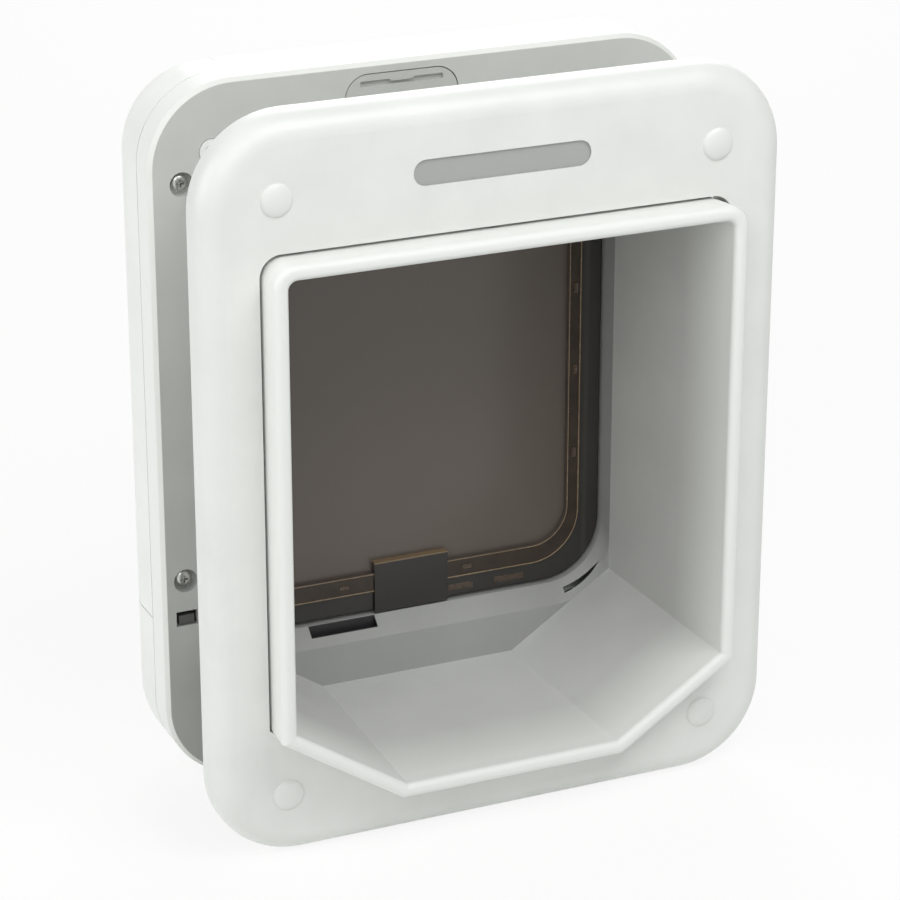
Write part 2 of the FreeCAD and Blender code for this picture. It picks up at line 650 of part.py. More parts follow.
def make_base_plate():
    body = new_body("base_plate")
    plate = pad(body, "base_block", BASE_FRONT, PARTING, lambda sketch: unit_outline(sketch, "0"))
    front = value(BASE_FRONT)
    round_edges(body, "base_bevel", plate, S.base_edge, lambda edge: in_plane(edge, front), "Chamfer")

    def draw_hollow(sketch):
        unit_outline(sketch, S.shell_wall)
        at_case_screws(sketch, f"({S.recess_radius} + 1.6)")
        at_board_screws(sketch, "3.4")
        at_carrier_screws(sketch, "3.4")
        at_surround_screws(sketch, "3.2")

    pocket(body, "base_hollow", PARTING, BASE_INSIDE, draw_hollow)
    before = f"({BASE_FRONT} - 1)"
    pocket(body, "tunnel_opening", before, PARTING,
           lambda sketch: liner_outline(sketch, f"({S.liner_wall} + {S.liner_gap})"))
    pocket(body, "case_screw_recesses", before, SCREW_RECESS,
           lambda sketch: at_case_screws(sketch, S.recess_radius))
    pocket(body, "case_screw_holes", before, PARTING, lambda sketch: at_case_screws(sketch, "1.75"))
    deep = f"({BASE_INSIDE} + 1)"
    pocket(body, "board_post_holes", PARTING, deep, lambda sketch: at_board_screws(sketch, "1.25"))
    pocket(body, "carrier_post_holes", PARTING, deep, lambda sketch: at_carrier_screws(sketch, "1.25"))
    pocket(body, "surround_post_holes", PARTING, deep, lambda sketch: at_surround_screws(sketch, "1.25"))
    pocket(body, "fixing_nose_holes", before, PARTING,
           lambda sketch: at_fixing_screws(sketch, f"({S.nose_radius} + 0.25)"))
    pocket(body, "hatch_opening", before, PARTING,
           lambda sketch: rounded_rectangle(sketch, f"({HATCH_LEFT} - 0.4)", f"({HATCH_RIGHT} + 0.4)",
                                            f"({HATCH_LOW} - 0.4)", f"({HATCH_TOP} + 0.4)",
                                            S.hatch_corner))

    def draw_windows(sketch):
        for side in SIDES:
            inner = f"({side} * ({S.window_side} - {S.window_width} / 2))"
            outer = f"({side} * ({S.window_side} + {S.window_width} / 2))"
            left, right = (outer, inner) if side < 0 else (inner, outer)
            rectangle(sketch, left, right, f"({S.window_height} - 3)", f"({S.window_height} + 3)")

    pocket(body, "catch_windows", before, PARTING, draw_windows)


def make_wiring_hatch():
    body = new_body("wiring_hatch")
    pad(body, "hatch_plate", f"({BASE_FRONT} + 0.2)", BASE_INSIDE,
              lambda sketch: rounded_rectangle(sketch, HATCH_LEFT, HATCH_RIGHT, HATCH_LOW, HATCH_TOP,
                                               f"({S.hatch_corner} - 0.4)"))
    pad(body, "hatch_rim", BASE_INSIDE, f"({BASE_INSIDE} + 1.5)",
        lambda sketch: rounded_rectangle(sketch, f"({HATCH_LEFT} - 2)", f"({HATCH_RIGHT} + 2)",
                                         f"({HATCH_LOW} - 2)", f"({HATCH_TOP} + 0.9)",
                                         S.hatch_corner))
    slot = f"({HATCH_TOP} - {S.slot_drop})"
    pocket(body, "hatch_slot", f"({BASE_FRONT} - 1)", f"({BASE_FRONT} + 1.7)",
           lambda sketch: polygon(sketch, [
               (f"({S.hatch_shift} - {S.slot_width} / 2)", f"({slot} - 1)"),
               (f"({S.hatch_shift} + {S.slot_width} / 2)", f"({slot} - 1)"),
               (f"({S.hatch_shift} + {S.slot_width} / 2)", f"({slot} + 1)"),
               (f"({S.hatch_shift} + 5)", f"({slot} + 1)"),
               (f"({S.hatch_shift} + 4)", f"({slot} + 0.2)"),
               (f"({S.hatch_shift} - 4)", f"({slot} + 0.2)"),
               (f"({S.hatch_shift} - 5)", f"({slot} + 1)"),
               (f"({S.hatch_shift} - {S.slot_width} / 2)", f"({slot} + 1)"),
           ]))


def opening_outline(sketch, grow):
    """The opening that the flap closes, grown by an expression."""
    rounded_rectangle(sketch, f"(-{OPENING_HALF} - {grow})", f"({OPENING_HALF} + {grow})",
                      f"({SILL} - {grow})", f"({S.ceiling} + {grow})",
                      f"({S.flap_corner} + {grow})", f"({S.opening_top} + {grow})")


def make_flap_surround():
    body = new_body("flap_surround")
    pad(body, "surround_tube", PARTING, SURROUND_BACK,
        lambda sketch: opening_outline(sketch, S.shell_wall))
    flange_back = f"({PARTING} + {S.shell_wall})"
    pad(body, "surround_flange", PARTING, flange_back,
        lambda sketch: rounded_rectangle(sketch, f"(-{S.flange_half})", S.flange_half,
                                         S.flange_low, S.flange_high, "8"))
    for height in SURROUND_SCREWS:
        pair_of_blocks(body, "surround_ear", "Additive", f"({S.flange_half} - 3)",
                       f"({S.flange_screw} + 3.6)", PARTING, flange_back,
                       f"({height} - 4.5)", f"({height} + 4.5)")
    pad(body, "step_plate", PARTING, f"({PARTING} + {S.step_wall})",
        lambda sketch: liner_outline(sketch, "3.5"))
    sill_half = f"({OPENING_HALF} - {S.flap_corner} + 6)"
    block(body, "sill_block", "Additive", f"(-{sill_half})", sill_half, PARTING, SURROUND_BACK,
          f"({S.ridge_height} - 3.5)", SILL)
    pocket(body, "flap_opening", f"({PARTING} - 1)", f"({SURROUND_BACK} + 1)",
           lambda sketch: opening_outline(sketch, "0"))
    loft(body, "sill_slope", "Subtractive", PARTING, f"({PARTING} + {S.sill_run})",
         lambda sketch: rounded_rectangle(sketch, f"(-{LINER_HALF})", LINER_HALF, S.ridge_height,
                                          f"({S.ceiling} + 0.1)", S.flap_corner, S.opening_top),
         lambda sketch: opening_outline(sketch, "0.02"))
    loft(body, "indoor_slope", "Subtractive", SURROUND_BACK, f"({SURROUND_BACK} - 4)",
         lambda sketch: opening_outline(sketch, "1.6"),
         lambda sketch: opening_outline(sketch, "0.02"))
    for name, side, start in (("exit", -1, EXIT_FRONT), ("entry", 1, ENTRY_FRONT)):
        block(body, f"{name}_slot", "Subtractive",
              f"({side} * {S.latch_shift} - {S.latch_width} / 2 - {S.latch_gap})",
              f"({side} * {S.latch_shift} + {S.latch_width} / 2 + {S.latch_gap})",
              f"({start} - {S.latch_gap})", f"({start} + {S.latch_thick} + {S.latch_gap})",
              f"({S.ridge_height} - 5)", f"({SILL} + 1)")
    block(body, "rack_space", "Subtractive", f"(-{S.latch_shift} + {S.latch_width} / 2)",
          f"(-{PITCH_RADIUS} + 2)", f"({EXIT_FRONT} - {S.latch_gap})",
          f"({EXIT_FRONT} + {S.latch_thick} + {S.latch_gap})",
          f"({S.ridge_height} - 5)", S.ridge_height)
    bush = f"({S.pin_radius} + {S.pin_play} + {S.bush_wall})"
    for side in SIDES:
        start = OPENING_HALF if side > 0 else f"(-{OPENING_HALF} - {S.bush_length})"
        drum(body, "hinge_boss", "Additive", "X", f"({bush} + 2.4)", S.bush_length,
             start, FLAP_PLANE, S.hinge_height)
        inner = f"({start} - 0.5)"
        drum(body, "hinge_socket", "Subtractive", "X", bush, f"({S.bush_length} + 1)",
             inner, FLAP_PLANE, S.hinge_height)

    pocket(body, "surround_screw_holes", f"({PARTING} - 1)", f"({flange_back} + 1)",
           lambda sketch: at_surround_screws(sketch, "1.5"))
    block(body, "sill_magnet_pocket", "Subtractive", f"(-{S.magnet_width} / 2 + 1.5)",
          f"({S.magnet_width} / 2 - 1.5)", f"({FLAP_PLANE} - 3)", f"({FLAP_PLANE} + 3)",
          f"({S.ridge_height} - 5)", f"({SILL} - 1.5)")


def make_flap_panel():
    body = new_body("flap_panel")
    front = f"({FLAP_PLANE} - {S.flap_plate} / 2)"
    back = f"({FLAP_PLANE} + {S.flap_plate} / 2)"
    half = PANEL_HALF
    low = f"({S.rim_low} - {S.rim_fall} - {S.seal_lap} - 1)"

    def draw_panel(sketch):
        rounded_rectangle(sketch, f"(-{half})", half, low, f"({S.hinge_height} + 2)",
                          f"({S.rim_corner} + {S.rim_width} + {S.seal_lap} - 3)")

    pad(body, "panel_plate", front, back, draw_panel)
    rim_half = f"({S.rim_side} + {S.rim_width})"
    rim_foot = f"({S.rim_low} - {S.rim_fall})"
    top = f"({S.hinge_height} - {S.hinge_barrel} + 1)"

    def draw_rim(sketch):
        rounded_rectangle(sketch, f"(-{rim_half})", rim_half, rim_foot, top,
                          f"({S.rim_corner} + {S.rim_width})")
        rounded_rectangle(sketch, f"(-{S.rim_side})", S.rim_side, S.rim_low, f"({top} - {S.rim_width})",
                          S.rim_corner)

    pad(body, "panel_rib", f"({front} - {S.rim_stand})", front, draw_rim)
    pad(body, "panel_back_rib", back, f"({back} + 1)", draw_rim)
    block(body, "magnet_block", "Additive", f"(-{S.block_width} / 2)", f"({S.block_width} / 2)",
          f"({FLAP_PLANE} - {S.block_depth} / 2)", f"({FLAP_PLANE} + {S.block_depth} / 2)",
          S.flap_foot, S.block_top)
    drum(body, "hinge_barrel", "Additive", "X", S.hinge_barrel, f"(2 * {half})",
         f"(-{half})", FLAP_PLANE, S.hinge_height)
    for side in SIDES:
        start = f"({half} - {PIN_INSIDE})" if side > 0 else f"(-{half})"
        drum(body, "pin_hole", "Subtractive", "X", S.pin_radius, PIN_INSIDE,
             start, FLAP_PLANE, S.hinge_height)
    block(body, "magnet_pocket", "Subtractive", f"(-{S.magnet_width} / 2)", f"({S.magnet_width} / 2)",
          f"({FLAP_PLANE} - 2.5)", f"({FLAP_PLANE} + 2.5)", S.flap_foot, f"({S.flap_foot} + 10)")


def make_flap_seal():
    body = new_body("flap_seal")
    front = f"({FLAP_PLANE} - {S.seal_depth} / 2)"
    back = f"({FLAP_PLANE} + {S.seal_depth} / 2)"
    outer = f"({S.flap_width} / 2)"
    inner = f"({S.rim_side} + {S.rim_width})"
    top = f"({S.hinge_height} - {S.hinge_barrel} - 1)"

    def draw_seal(sketch):
        rounded_rectangle(sketch, f"(-{outer})", outer, S.flap_foot,
                          f"({S.hinge_height} + {S.flap_corner} + 5)", S.flap_corner)

    def draw_inside(sketch):
        rounded_rectangle(sketch, f"(-{inner})", inner, f"({S.rim_low} - {S.rim_fall})",
                          f"({S.hinge_height} + {S.flap_corner} + 10)",
                          f"({S.rim_corner} + {S.rim_width})")

    def draw_groove(sketch):
        half = PANEL_HALF
        rounded_rectangle(sketch, f"(-{half})", half,
                          f"({S.rim_low} - {S.rim_fall} - {S.seal_lap} - 1)",
                          f"({S.hinge_height} + {S.flap_corner} + 10)",
                          f"({S.rim_corner} + {S.rim_width} + {S.seal_lap} - 3)")

    ring = pad(body, "seal_ring", front, back, draw_seal)
    round_edges(body, "seal_edges", ring, "1.2",
                lambda edge: in_plane(edge, value(front)) or in_plane(edge, value(back)))
    pocket(body, "seal_inside", f"({front} - 1)", f"({back} + 1)", draw_inside)
    pocket(body, "seal_groove", f"({FLAP_PLANE} - {S.flap_plate} / 2)",
           f"({FLAP_PLANE} + {S.flap_plate} / 2)", draw_groove)
    block(body, "seal_top", "Subtractive", f"(-{outer} - 1)", f"({outer} + 1)",
          f"({front} - 1)", f"({back} + 1)", top, f"({S.hinge_height} + {S.flap_corner} + 12)")
    block(body, "seal_notch", "Subtractive", f"(-{S.block_width} / 2 - 0.1)",
          f"({S.block_width} / 2 + 0.1)", f"({front} - 1)", f"({back} + 1)",
          f"({S.flap_foot} - 1)", S.block_top)


def make_hinge():
    pins = []
    bushes = []
    bore = f"({S.pin_radius} + {S.pin_play})"
    tip = f"({OPENING_HALF} + {S.bush_length} - 1)"
    for side in SIDES:
        start = f"({tip} - {S.pin_length})" if side > 0 else f"(-{tip})"
        pins.append(cylinder("hinge_pin", "X", S.pin_radius, S.pin_length,
                             start, FLAP_PLANE, S.hinge_height))
        start = OPENING_HALF if side > 0 else f"(-{OPENING_HALF} - {S.bush_length})"
        outer = cylinder("bush_outside", "X", f"({bore} + {S.bush_wall})", S.bush_length,
                         start, FLAP_PLANE, S.hinge_height)
        inner = cylinder("bush_bore", "X", bore, S.bush_length, start, FLAP_PLANE, S.hinge_height)
        bushes.append(cut("hinge_bush", outer, inner))
    group("hinge_pins", pins)
    group("hinge_bushes", bushes)
    node("flap_magnet", box("flap_magnet", f"(-{S.magnet_width} / 2)", f"({S.magnet_width} / 2)",
                            f"({FLAP_PLANE} - 2.5)", f"({FLAP_PLANE} + 2.5)",
                            f"({S.flap_foot} + 0.6)", f"({S.flap_foot} + 10)"))


def cover_form(body, name):
    """The indoor cover's closed outer form, hollowed from the parting line."""
    blank = pad(body, name + "_blank", COVER_FRONT, COVER_BACK, lambda sketch: unit_outline(sketch, "0"))
    back = value(COVER_BACK)
    smooth = round_edges(body, name + "_round", blank, S.cover_round, lambda edge: in_plane(edge, back))
    front = value(COVER_FRONT)
    faces = [f"Face{i}" for i, face in enumerate(smooth.Shape.Faces, start=1)
             if abs(face.BoundBox.YMin - front) < 0.01 and abs(face.BoundBox.YMax - front) < 0.01]
    shell = body.newObject("PartDesign::Thickness", name + "_shell")
    shell.Base = (smooth, faces)
    shell.setExpression("Value", S.shell_wall)
    shell.Reversed = True
    doc.recompute()
    return shell


def add_cover_opening(body, name):
    """The opening for the flap with a wall that runs back to the flap surround."""
    pad(body, name + "_return", SURROUND_BACK, COVER_INSIDE,
        lambda sketch: opening_outline(sketch, f"({S.return_grow} + 2)"))
    return pocket(body, name + "_opening", f"({SURROUND_BACK} - 1)", f"({COVER_BACK} + 1)",
                  lambda sketch: opening_outline(sketch, S.return_grow))


def make_indoor_cover():
    body = new_body("indoor_cover")
    cover_form(body, "cover")
    add_cover_opening(body, "cover")
    pad(body, "screw_tubes", f"({PARTING} + 3.5)", TUBE_END, lambda sketch: [
        circle(sketch, f"{side} * {S.fix_side}", S.fix_high, S.tube_radius) for side in SIDES])
    pad(body, "screw_noses", BASE_FRONT, f"({PARTING} + 3.5)", lambda sketch: [
        circle(sketch, f"{side} * {S.fix_side}", S.fix_high, S.nose_radius) for side in SIDES])
    pad(body, "case_bosses", PARTING, BOSS_END, lambda sketch: at_case_screws(sketch, "4.2"))
    for across, height in CASE_SCREWS:
        pair_of_blocks(body, "case_boss_rib", "Additive", across, f"({S.unit_width} / 2 - 1.5)",
                       COVER_FRONT, f"({PARTING} + 16)", f"({height} - 1)", f"({height} + 1)")
    pair_of_blocks(body, "tray_rib", "Additive", "67", "69", f"({SURROUND_BACK} + 1)",
                   f"({COVER_INSIDE} + 0.5)", f"({S.ceiling} + {S.return_grow} + 1)", S.tray_floor)
    pocket(body, "case_boss_holes", PARTING, f"({PARTING} + 14)",
           lambda sketch: at_case_screws(sketch, f"({S.case_shank} + 0.05)"))
    pocket(body, "fixing_holes", f"({BASE_FRONT} - 1)", f"({COVER_BACK} + 1)", lambda sketch: [
        circle(sketch, f"{side} * {S.fix_side}", S.fix_high, "2.6") for side in SIDES])
    pocket(body, "head_bores", HEAD_SEAT, f"({COVER_BACK} + 1)", lambda sketch: [
        circle(sketch, f"{side} * {S.fix_side}", S.fix_high, S.head_bore) for side in SIDES])
    button_spot = (S.button_side, S.button_height)
    pocket(body, "button_hole", f"({COVER_BACK} + 1)", f"({COVER_INSIDE} - 1)",
           lambda sketch: circle(sketch, *button_spot, f"({S.button_radius} + 0.2)"))
    pocket(body, "lens_hole", f"({COVER_BACK} + 1)", f"({COVER_INSIDE} - 1)",
           lambda sketch: circle(sketch, S.lens_side, S.button_height, "1.65"))
    block(body, "below_split", "Subtractive", f"(-{WIDE})", WIDE, f"({BASE_FRONT} - 1)",
          f"({COVER_BACK} + 1)", f"({UNIT_FOOT} - 1)", f"({S.split_height} + {S.part_gap} / 2)")
    block(body, "battery_mouth", "Subtractive", f"(-{S.lid_width} / 2)", f"({S.lid_width} / 2)",
          LID_SPLIT, f"({COVER_BACK} + 1)", S.lid_low, f"({UNIT_TOP} + 1)")


def make_lower_cover():
    body = new_body("lower_cover")
    cover_form(body, "lower")
    add_cover_opening(body, "lower")
    block(body, "above_split", "Subtractive", f"(-{WIDE})", WIDE, PARTING, f"({COVER_BACK} + 1)",
          f"({S.split_height} - {S.part_gap} / 2)", f"({UNIT_TOP} + 1)")
    pad(body, "lower_tubes", f"({PARTING} + 3.5)", TUBE_END, lambda sketch: [
        circle(sketch, f"{side} * {S.fix_side}", S.fix_low, S.tube_radius) for side in SIDES])
    pad(body, "lower_noses", BASE_FRONT, f"({PARTING} + 3.5)", lambda sketch: [
        circle(sketch, f"{side} * {S.fix_side}", S.fix_low, S.nose_radius) for side in SIDES])
    pocket(body, "lower_fixing_holes", f"({BASE_FRONT} - 1)", f"({COVER_BACK} + 1)", lambda sketch: [
        circle(sketch, f"{side} * {S.fix_side}", S.fix_low, "2.6") for side in SIDES])
    pocket(body, "lower_head_bores", HEAD_SEAT, f"({COVER_BACK} + 1)", lambda sketch: [
        circle(sketch, f"{side} * {S.fix_side}", S.fix_low, S.head_bore) for side in SIDES])
    drum(body, "dial_hole", "Subtractive", "Y", f"({S.dial_radius} + {S.dial_gap})", "20",
         "0", f"({COVER_BACK} - 15)", S.dial_height)
    arm = (f"({S.window_side} - 3)", f"({S.window_side} + 3)")
    foot = f"({S.split_height} - 14)"
    pair_of_blocks(body, "catch_foot", "Additive", arm[0], f"({S.unit_width} / 2 - 1.5)",
                   f"({PARTING} + 1)", f"({PARTING} + 12)", foot, f"({foot} + 4)")
    pair_of_blocks(body, "catch_arm", "Additive", *arm, f"({PARTING} + 1)", f"({PARTING} + 3)",
                   foot, f"({S.window_height} + 1)")
    pair_of_blocks(body, "catch_hook", "Additive", *arm, f"({BASE_FRONT} + 0.8)", f"({PARTING} + 3)",
                   f"({S.window_height} - 2.6)", f"({S.window_height} + 1)")


def make_battery_lid():
    form = doc.addObject("PartDesign::Body", "lid_form")
    cover_form(form, "lid")
    reach = box("lid_reach", f"(-{S.lid_width} / 2 + {S.lid_gap})", f"({S.lid_width} / 2 - {S.lid_gap})",
                f"({LID_SPLIT} + {S.lid_gap})", f"({COVER_BACK} + 1)",
                f"({S.lid_low} + {S.lid_gap})", f"({UNIT_TOP} + 1)")
    node("battery_lid", common("battery_lid", form, reach))


def make_latch_carrier():
    body = new_body("latch_carrier")
    front = f"({PARTING} + {S.step_wall})"
    back = f"({EXIT_FRONT} - {S.latch_gap})"
    top = f"({S.flange_low} - 0.6)"
    pad(body, "carrier_plate", front, back,
        lambda sketch: rounded_rectangle(sketch, "-55", "55", "8.5", top, "4"))
    pad(body, "carrier_feet", PARTING, front, lambda sketch: at_carrier_screws(sketch, "3.4"))
    pocket(body, "carrier_screw_holes", f"({PARTING} - 1)", f"({back} + 1)",
           lambda sketch: at_carrier_screws(sketch, "1.5"))
    drum(body, "spigot_hole", "Subtractive", "Y", f"({S.spigot_radius} + {S.turn_play})", "10",
         "0", f"({front} - 1)", S.dial_height)
    guide_end = f"({EXIT_FRONT} + {S.latch_thick} + {S.latch_gap})"
    outer = f"(-{S.latch_shift} - {S.latch_width} / 2 - {S.latch_gap})"
    inner = f"(-{RACK_BACK} - {S.latch_gap})"
    block(body, "outer_guide", "Additive", f"({outer} - 2)", outer, back, guide_end, "18", top)
    block(body, "inner_guide", "Additive", f"({inner} - 2)", inner, back, guide_end, "12", "26")
    block(body, "solenoid_shelf", "Additive", f"({S.latch_shift} - 10)", f"({S.latch_shift} + 10)",
          back, SOLENOID_BACK, f"({SOLENOID_LOW} - 1.8)", SOLENOID_LOW)


def rack_teeth():
    """The toothed side of the exit latch from its upper to its lower end."""
    pitch = value(TOOTH_PITCH)
    module = value(PITCH_RADIUS) * 2 / value(S.pinion_teeth)
    line = -value(PITCH_RADIUS)
    root = line - 1.25 * module
    tip = line + 0.95 * module
    slope = 0.364
    half = pitch / 4 - value(S.mesh_play)
    middle = value(S.dial_height)
    points = [(root, middle + 1.25 * pitch)]
    for i in range(5):
        centre = middle + pitch * (0.5 - i)
        root_half = half + 1.25 * module * slope
        tip_half = half - 0.95 * module * slope
        points += [(root, centre + root_half), (tip, centre + tip_half),
                   (tip, centre - tip_half), (root, centre - root_half)]
    points.append((root, middle - 3.75 * pitch))
    return points


def make_exit_latch():
    """A blade with an arm that ends in a toothed rack."""
    front = value(EXIT_FRONT)
    left = value(f"-{S.latch_shift} - {S.latch_width} / 2")
    right = value(f"-{S.latch_shift} + {S.latch_width} / 2")
    back = -value(RACK_BACK)
    teeth = rack_teeth()
    arm_top = teeth[0][1]
    arm_low = arm_top - 4.5
    outline = [(left, arm_low), (left, value(LATCH_TOP)), (right, value(LATCH_TOP)), (right, arm_top)]
    outline += teeth
    outline += [(back, teeth[-1][1]), (back, arm_low)]
    corners = [Vector(x, front, z) for x, z in outline]
    item = doc.addObject("Part::Feature", "exit_latch")
    face = Part.Face(Part.makePolygon(corners + corners[:1]))
    item.Shape = face.extrude(Vector(0, value(S.latch_thick), 0))
    node("exit_latch", item)


def make_lock_pinion():
    count = int(value(S.pinion_teeth))
    pitch = value(TOOTH_PITCH)
    play = value(S.mesh_play)
    radius = value(PITCH_RADIUS)
    tooth = radius * 2 / count
    front = value(EXIT_FRONT)
    root = radius - 1.2 * tooth
    tip = radius + 0.9 * tooth
    root_half = (pitch / 4 + 0.1 - play) / root
    tip_half = (pitch / 4 - 0.5 * tooth - play * 0.5) / tip
    points = []
    turn = FreeCAD.Units.Quantity("360 deg").getValueAs("rad").Value / count
    for i in range(count):
        for distance, offset in ((root, -root_half), (radius, -root_half * 0.62), (tip, -tip_half),
                                 (tip, tip_half), (radius, root_half * 0.62), (root, root_half)):
            angle = FreeCAD.Units.Quantity(turn * i + offset, FreeCAD.Units.Unit())
            spoke = Vector(-distance, 0, 0)
            spot = Rotation(Vector(0, 1, 0), Radian=angle.Value).multVec(spoke)
            points.append(Vector(spot.x, front, value(S.dial_height) + spot.z))
    wheel = Part.Face(Part.makePolygon(points + points[:1])).extrude(Vector(0, value(S.latch_thick), 0))
    bore = Part.makeCylinder(value(S.spigot_radius), value(S.latch_thick) + 2,
                             Vector(0, front - 1, value(S.dial_height)), Vector(0, 1, 0))
    item = doc.addObject("Part::Feature", "lock_pinion")
    item.Shape = wheel.cut(bore)
    node("lock_pinion", item)


def make_lock_dial():
    body = new_body("lock_dial")
    flange = f"({COVER_BACK} - 12)"
    disc_back = f"({COVER_BACK} - 5.5)"
    pinion_back = f"({EXIT_FRONT} + {S.latch_thick})"
    spigot = f"({PARTING} + {S.step_wall} + 0.1)"
    drum(body, "dial_flange", "Additive", "Y", f"({S.dial_radius} + 1.5)", "2", "0", flange, S.dial_height)
    drum(body, "dial_disc", "Additive", "Y", S.dial_radius, f"({disc_back} - {flange})",
         "0", flange, S.dial_height)
    block(body, "dial_grip", "Additive", "-2.2", "2.2", f"({disc_back} - 1)", f"({COVER_BACK} - 2)",
          f"({S.dial_height} - {S.dial_radius} * 0.8)", f"({S.dial_height} + {S.dial_radius} * 0.8)")
    drum(body, "dial_shaft", "Additive", "Y", S.shaft_radius, f"({flange} - {pinion_back} + 0.1)",
         "0", pinion_back, S.dial_height)
    drum(body, "dial_spigot", "Additive", "Y", S.spigot_radius, f"({pinion_back} - {spigot} + 0.1)",
         "0", spigot, S.dial_height)


def make_entry_latch():
    body = new_body("entry_latch")
    back = f"({ENTRY_FRONT} + {S.latch_thick})"
    left = f"({S.latch_shift} - {S.latch_width} / 2)"
    right = f"({S.latch_shift} + {S.latch_width} / 2)"
    block(body, "entry_blade", "Additive", left, right, ENTRY_FRONT, back,
          f"({LATCH_TOP} - 14.5)", LATCH_TOP)
    node("latch_plunger", cylinder("latch_plunger", "Z", S.plunger_radius, "14",
                                   S.latch_shift, ENTRY_MIDDLE, f"({LATCH_TOP} - 28.5)"))


def make_solenoid():
    left = f"({S.latch_shift} - 9)"
    right = f"({S.latch_shift} + 9)"
    case = box("solenoid_case", left, right, SOLENOID_FRONT, SOLENOID_BACK, SOLENOID_LOW, SOLENOID_HIGH)
    hollow = box("solenoid_hollow", f"({left} - 1)", f"({right} + 1)", f"({SOLENOID_FRONT} + 1.5)",
                 f"({SOLENOID_BACK} + 1)", f"({SOLENOID_LOW} + 1.5)", f"({SOLENOID_HIGH} - 1.5)")
    bore = cylinder("yoke_bore", "Z", f"({S.plunger_radius} + 0.3)", "40",
                    S.latch_shift, ENTRY_MIDDLE, SOLENOID_LOW)
    node("solenoid_yoke", cut("solenoid_yoke", cut("yoke_bracket", case, hollow), bore))
    winding = cylinder("winding", "Z", "6.4", f"({SOLENOID_HIGH} - {SOLENOID_LOW} - 3)",
                       S.latch_shift, ENTRY_MIDDLE, f"({SOLENOID_LOW} + 1.5)")
    inside = cylinder("winding_bore", "Z", f"({S.plunger_radius} + 0.3)", "40",
                      S.latch_shift, ENTRY_MIDDLE, SOLENOID_LOW)
    node("solenoid_coil", cut("solenoid_coil", winding, inside))
    node("sill_magnet", box("sill_magnet", f"(-{S.magnet_width} / 2 + 1.5)", f"({S.magnet_width} / 2 - 1.5)",
                            f"({FLAP_PLANE} - 3)", f"({FLAP_PLANE} + 3)",
                            f"({SILL} - 7.5)", f"({SILL} - 1.5)"))


def make_antenna_coil():
    body = new_body("antenna_coil")
    inside = f"({S.liner_wall} + {S.coil_space})"
    start = BASE_INSIDE

    def draw_ring(sketch):
        liner_outline(sketch, f"({inside} + {S.coil_wide})")
        liner_outline(sketch, inside)

    pad(body, "coil_winding", start, f"({start} + {S.coil_deep})", draw_ring)


def make_control_board():
    body = new_body("control_board")
    back = f"({PARTING} + {S.board_thick})"
    pad(body, "board_plate", PARTING, back,
        lambda sketch: rounded_rectangle(sketch, f"(-{S.board_half})", S.board_half,
                                         S.board_low, S.board_high, "2"))
    pocket(body, "board_holes", f"({PARTING} - 1)", f"({back} + 1)",
           lambda sketch: at_board_screws(sketch, "1.5"))
    block(body, "connector", "Additive", f"({S.hatch_shift} - 6)", f"({S.hatch_shift} + 6)",
          f"({PARTING} - 7)", PARTING, f"({HATCH_TOP} - 16)", f"({HATCH_TOP} - 10)")
    block(body, "processor", "Additive", "16", "28", back, f"({back} + 1.6)", "248", "260")
    block(body, "reader_chip", "Additive", "-36", "-26", back, f"({back} + 1.6)", "246", "253")
    block(body, "status_lamp", "Additive", f"({S.lens_side} - 1.6)", f"({S.lens_side} + 1.6)",
          back, f"({back} + 1.4)", f"({S.button_height} - 1.4)", f"({S.button_height} + 1.4)")


def make_button():
    board_back = f"({PARTING} + {S.board_thick})"
    case = box("switch_case", f"({S.button_side} - 3)", f"({S.button_side} + 3)",
               board_back, f"({board_back} + 3.4)", f"({S.button_height} - 3)", f"({S.button_height} + 3)")
    knob = cylinder("switch_knob", "Y", "1.6", "1.4", S.button_side, f"({board_back} + 3.4)", S.button_height)
    node("learn_switch", fuse("learn_switch", [case, knob]))
    body = new_body("learn_button")
    stem_end = f"({board_back} + 6.1)"
    drum(body, "button_cap", "Additive", "Y", S.button_radius, "3.2",
         S.button_side, f"({COVER_BACK} - 3.4)", S.button_height)
    drum(body, "button_stem", "Additive", "Y", "1.6", f"({COVER_BACK} - 3.4 - {stem_end})",
         S.button_side, stem_end, S.button_height)
    drum(body, "button_collar", "Additive", "Y", f"({S.button_radius} + 1)", "1",
         S.button_side, f"({COVER_INSIDE} - 1.3)", S.button_height)
    node("status_lens", cylinder("status_lens", "Y", "1.6", f"({COVER_BACK} - 0.1 - {board_back} - 1.4)",
                                 S.lens_side, f"({board_back} + 1.4)", S.button_height))


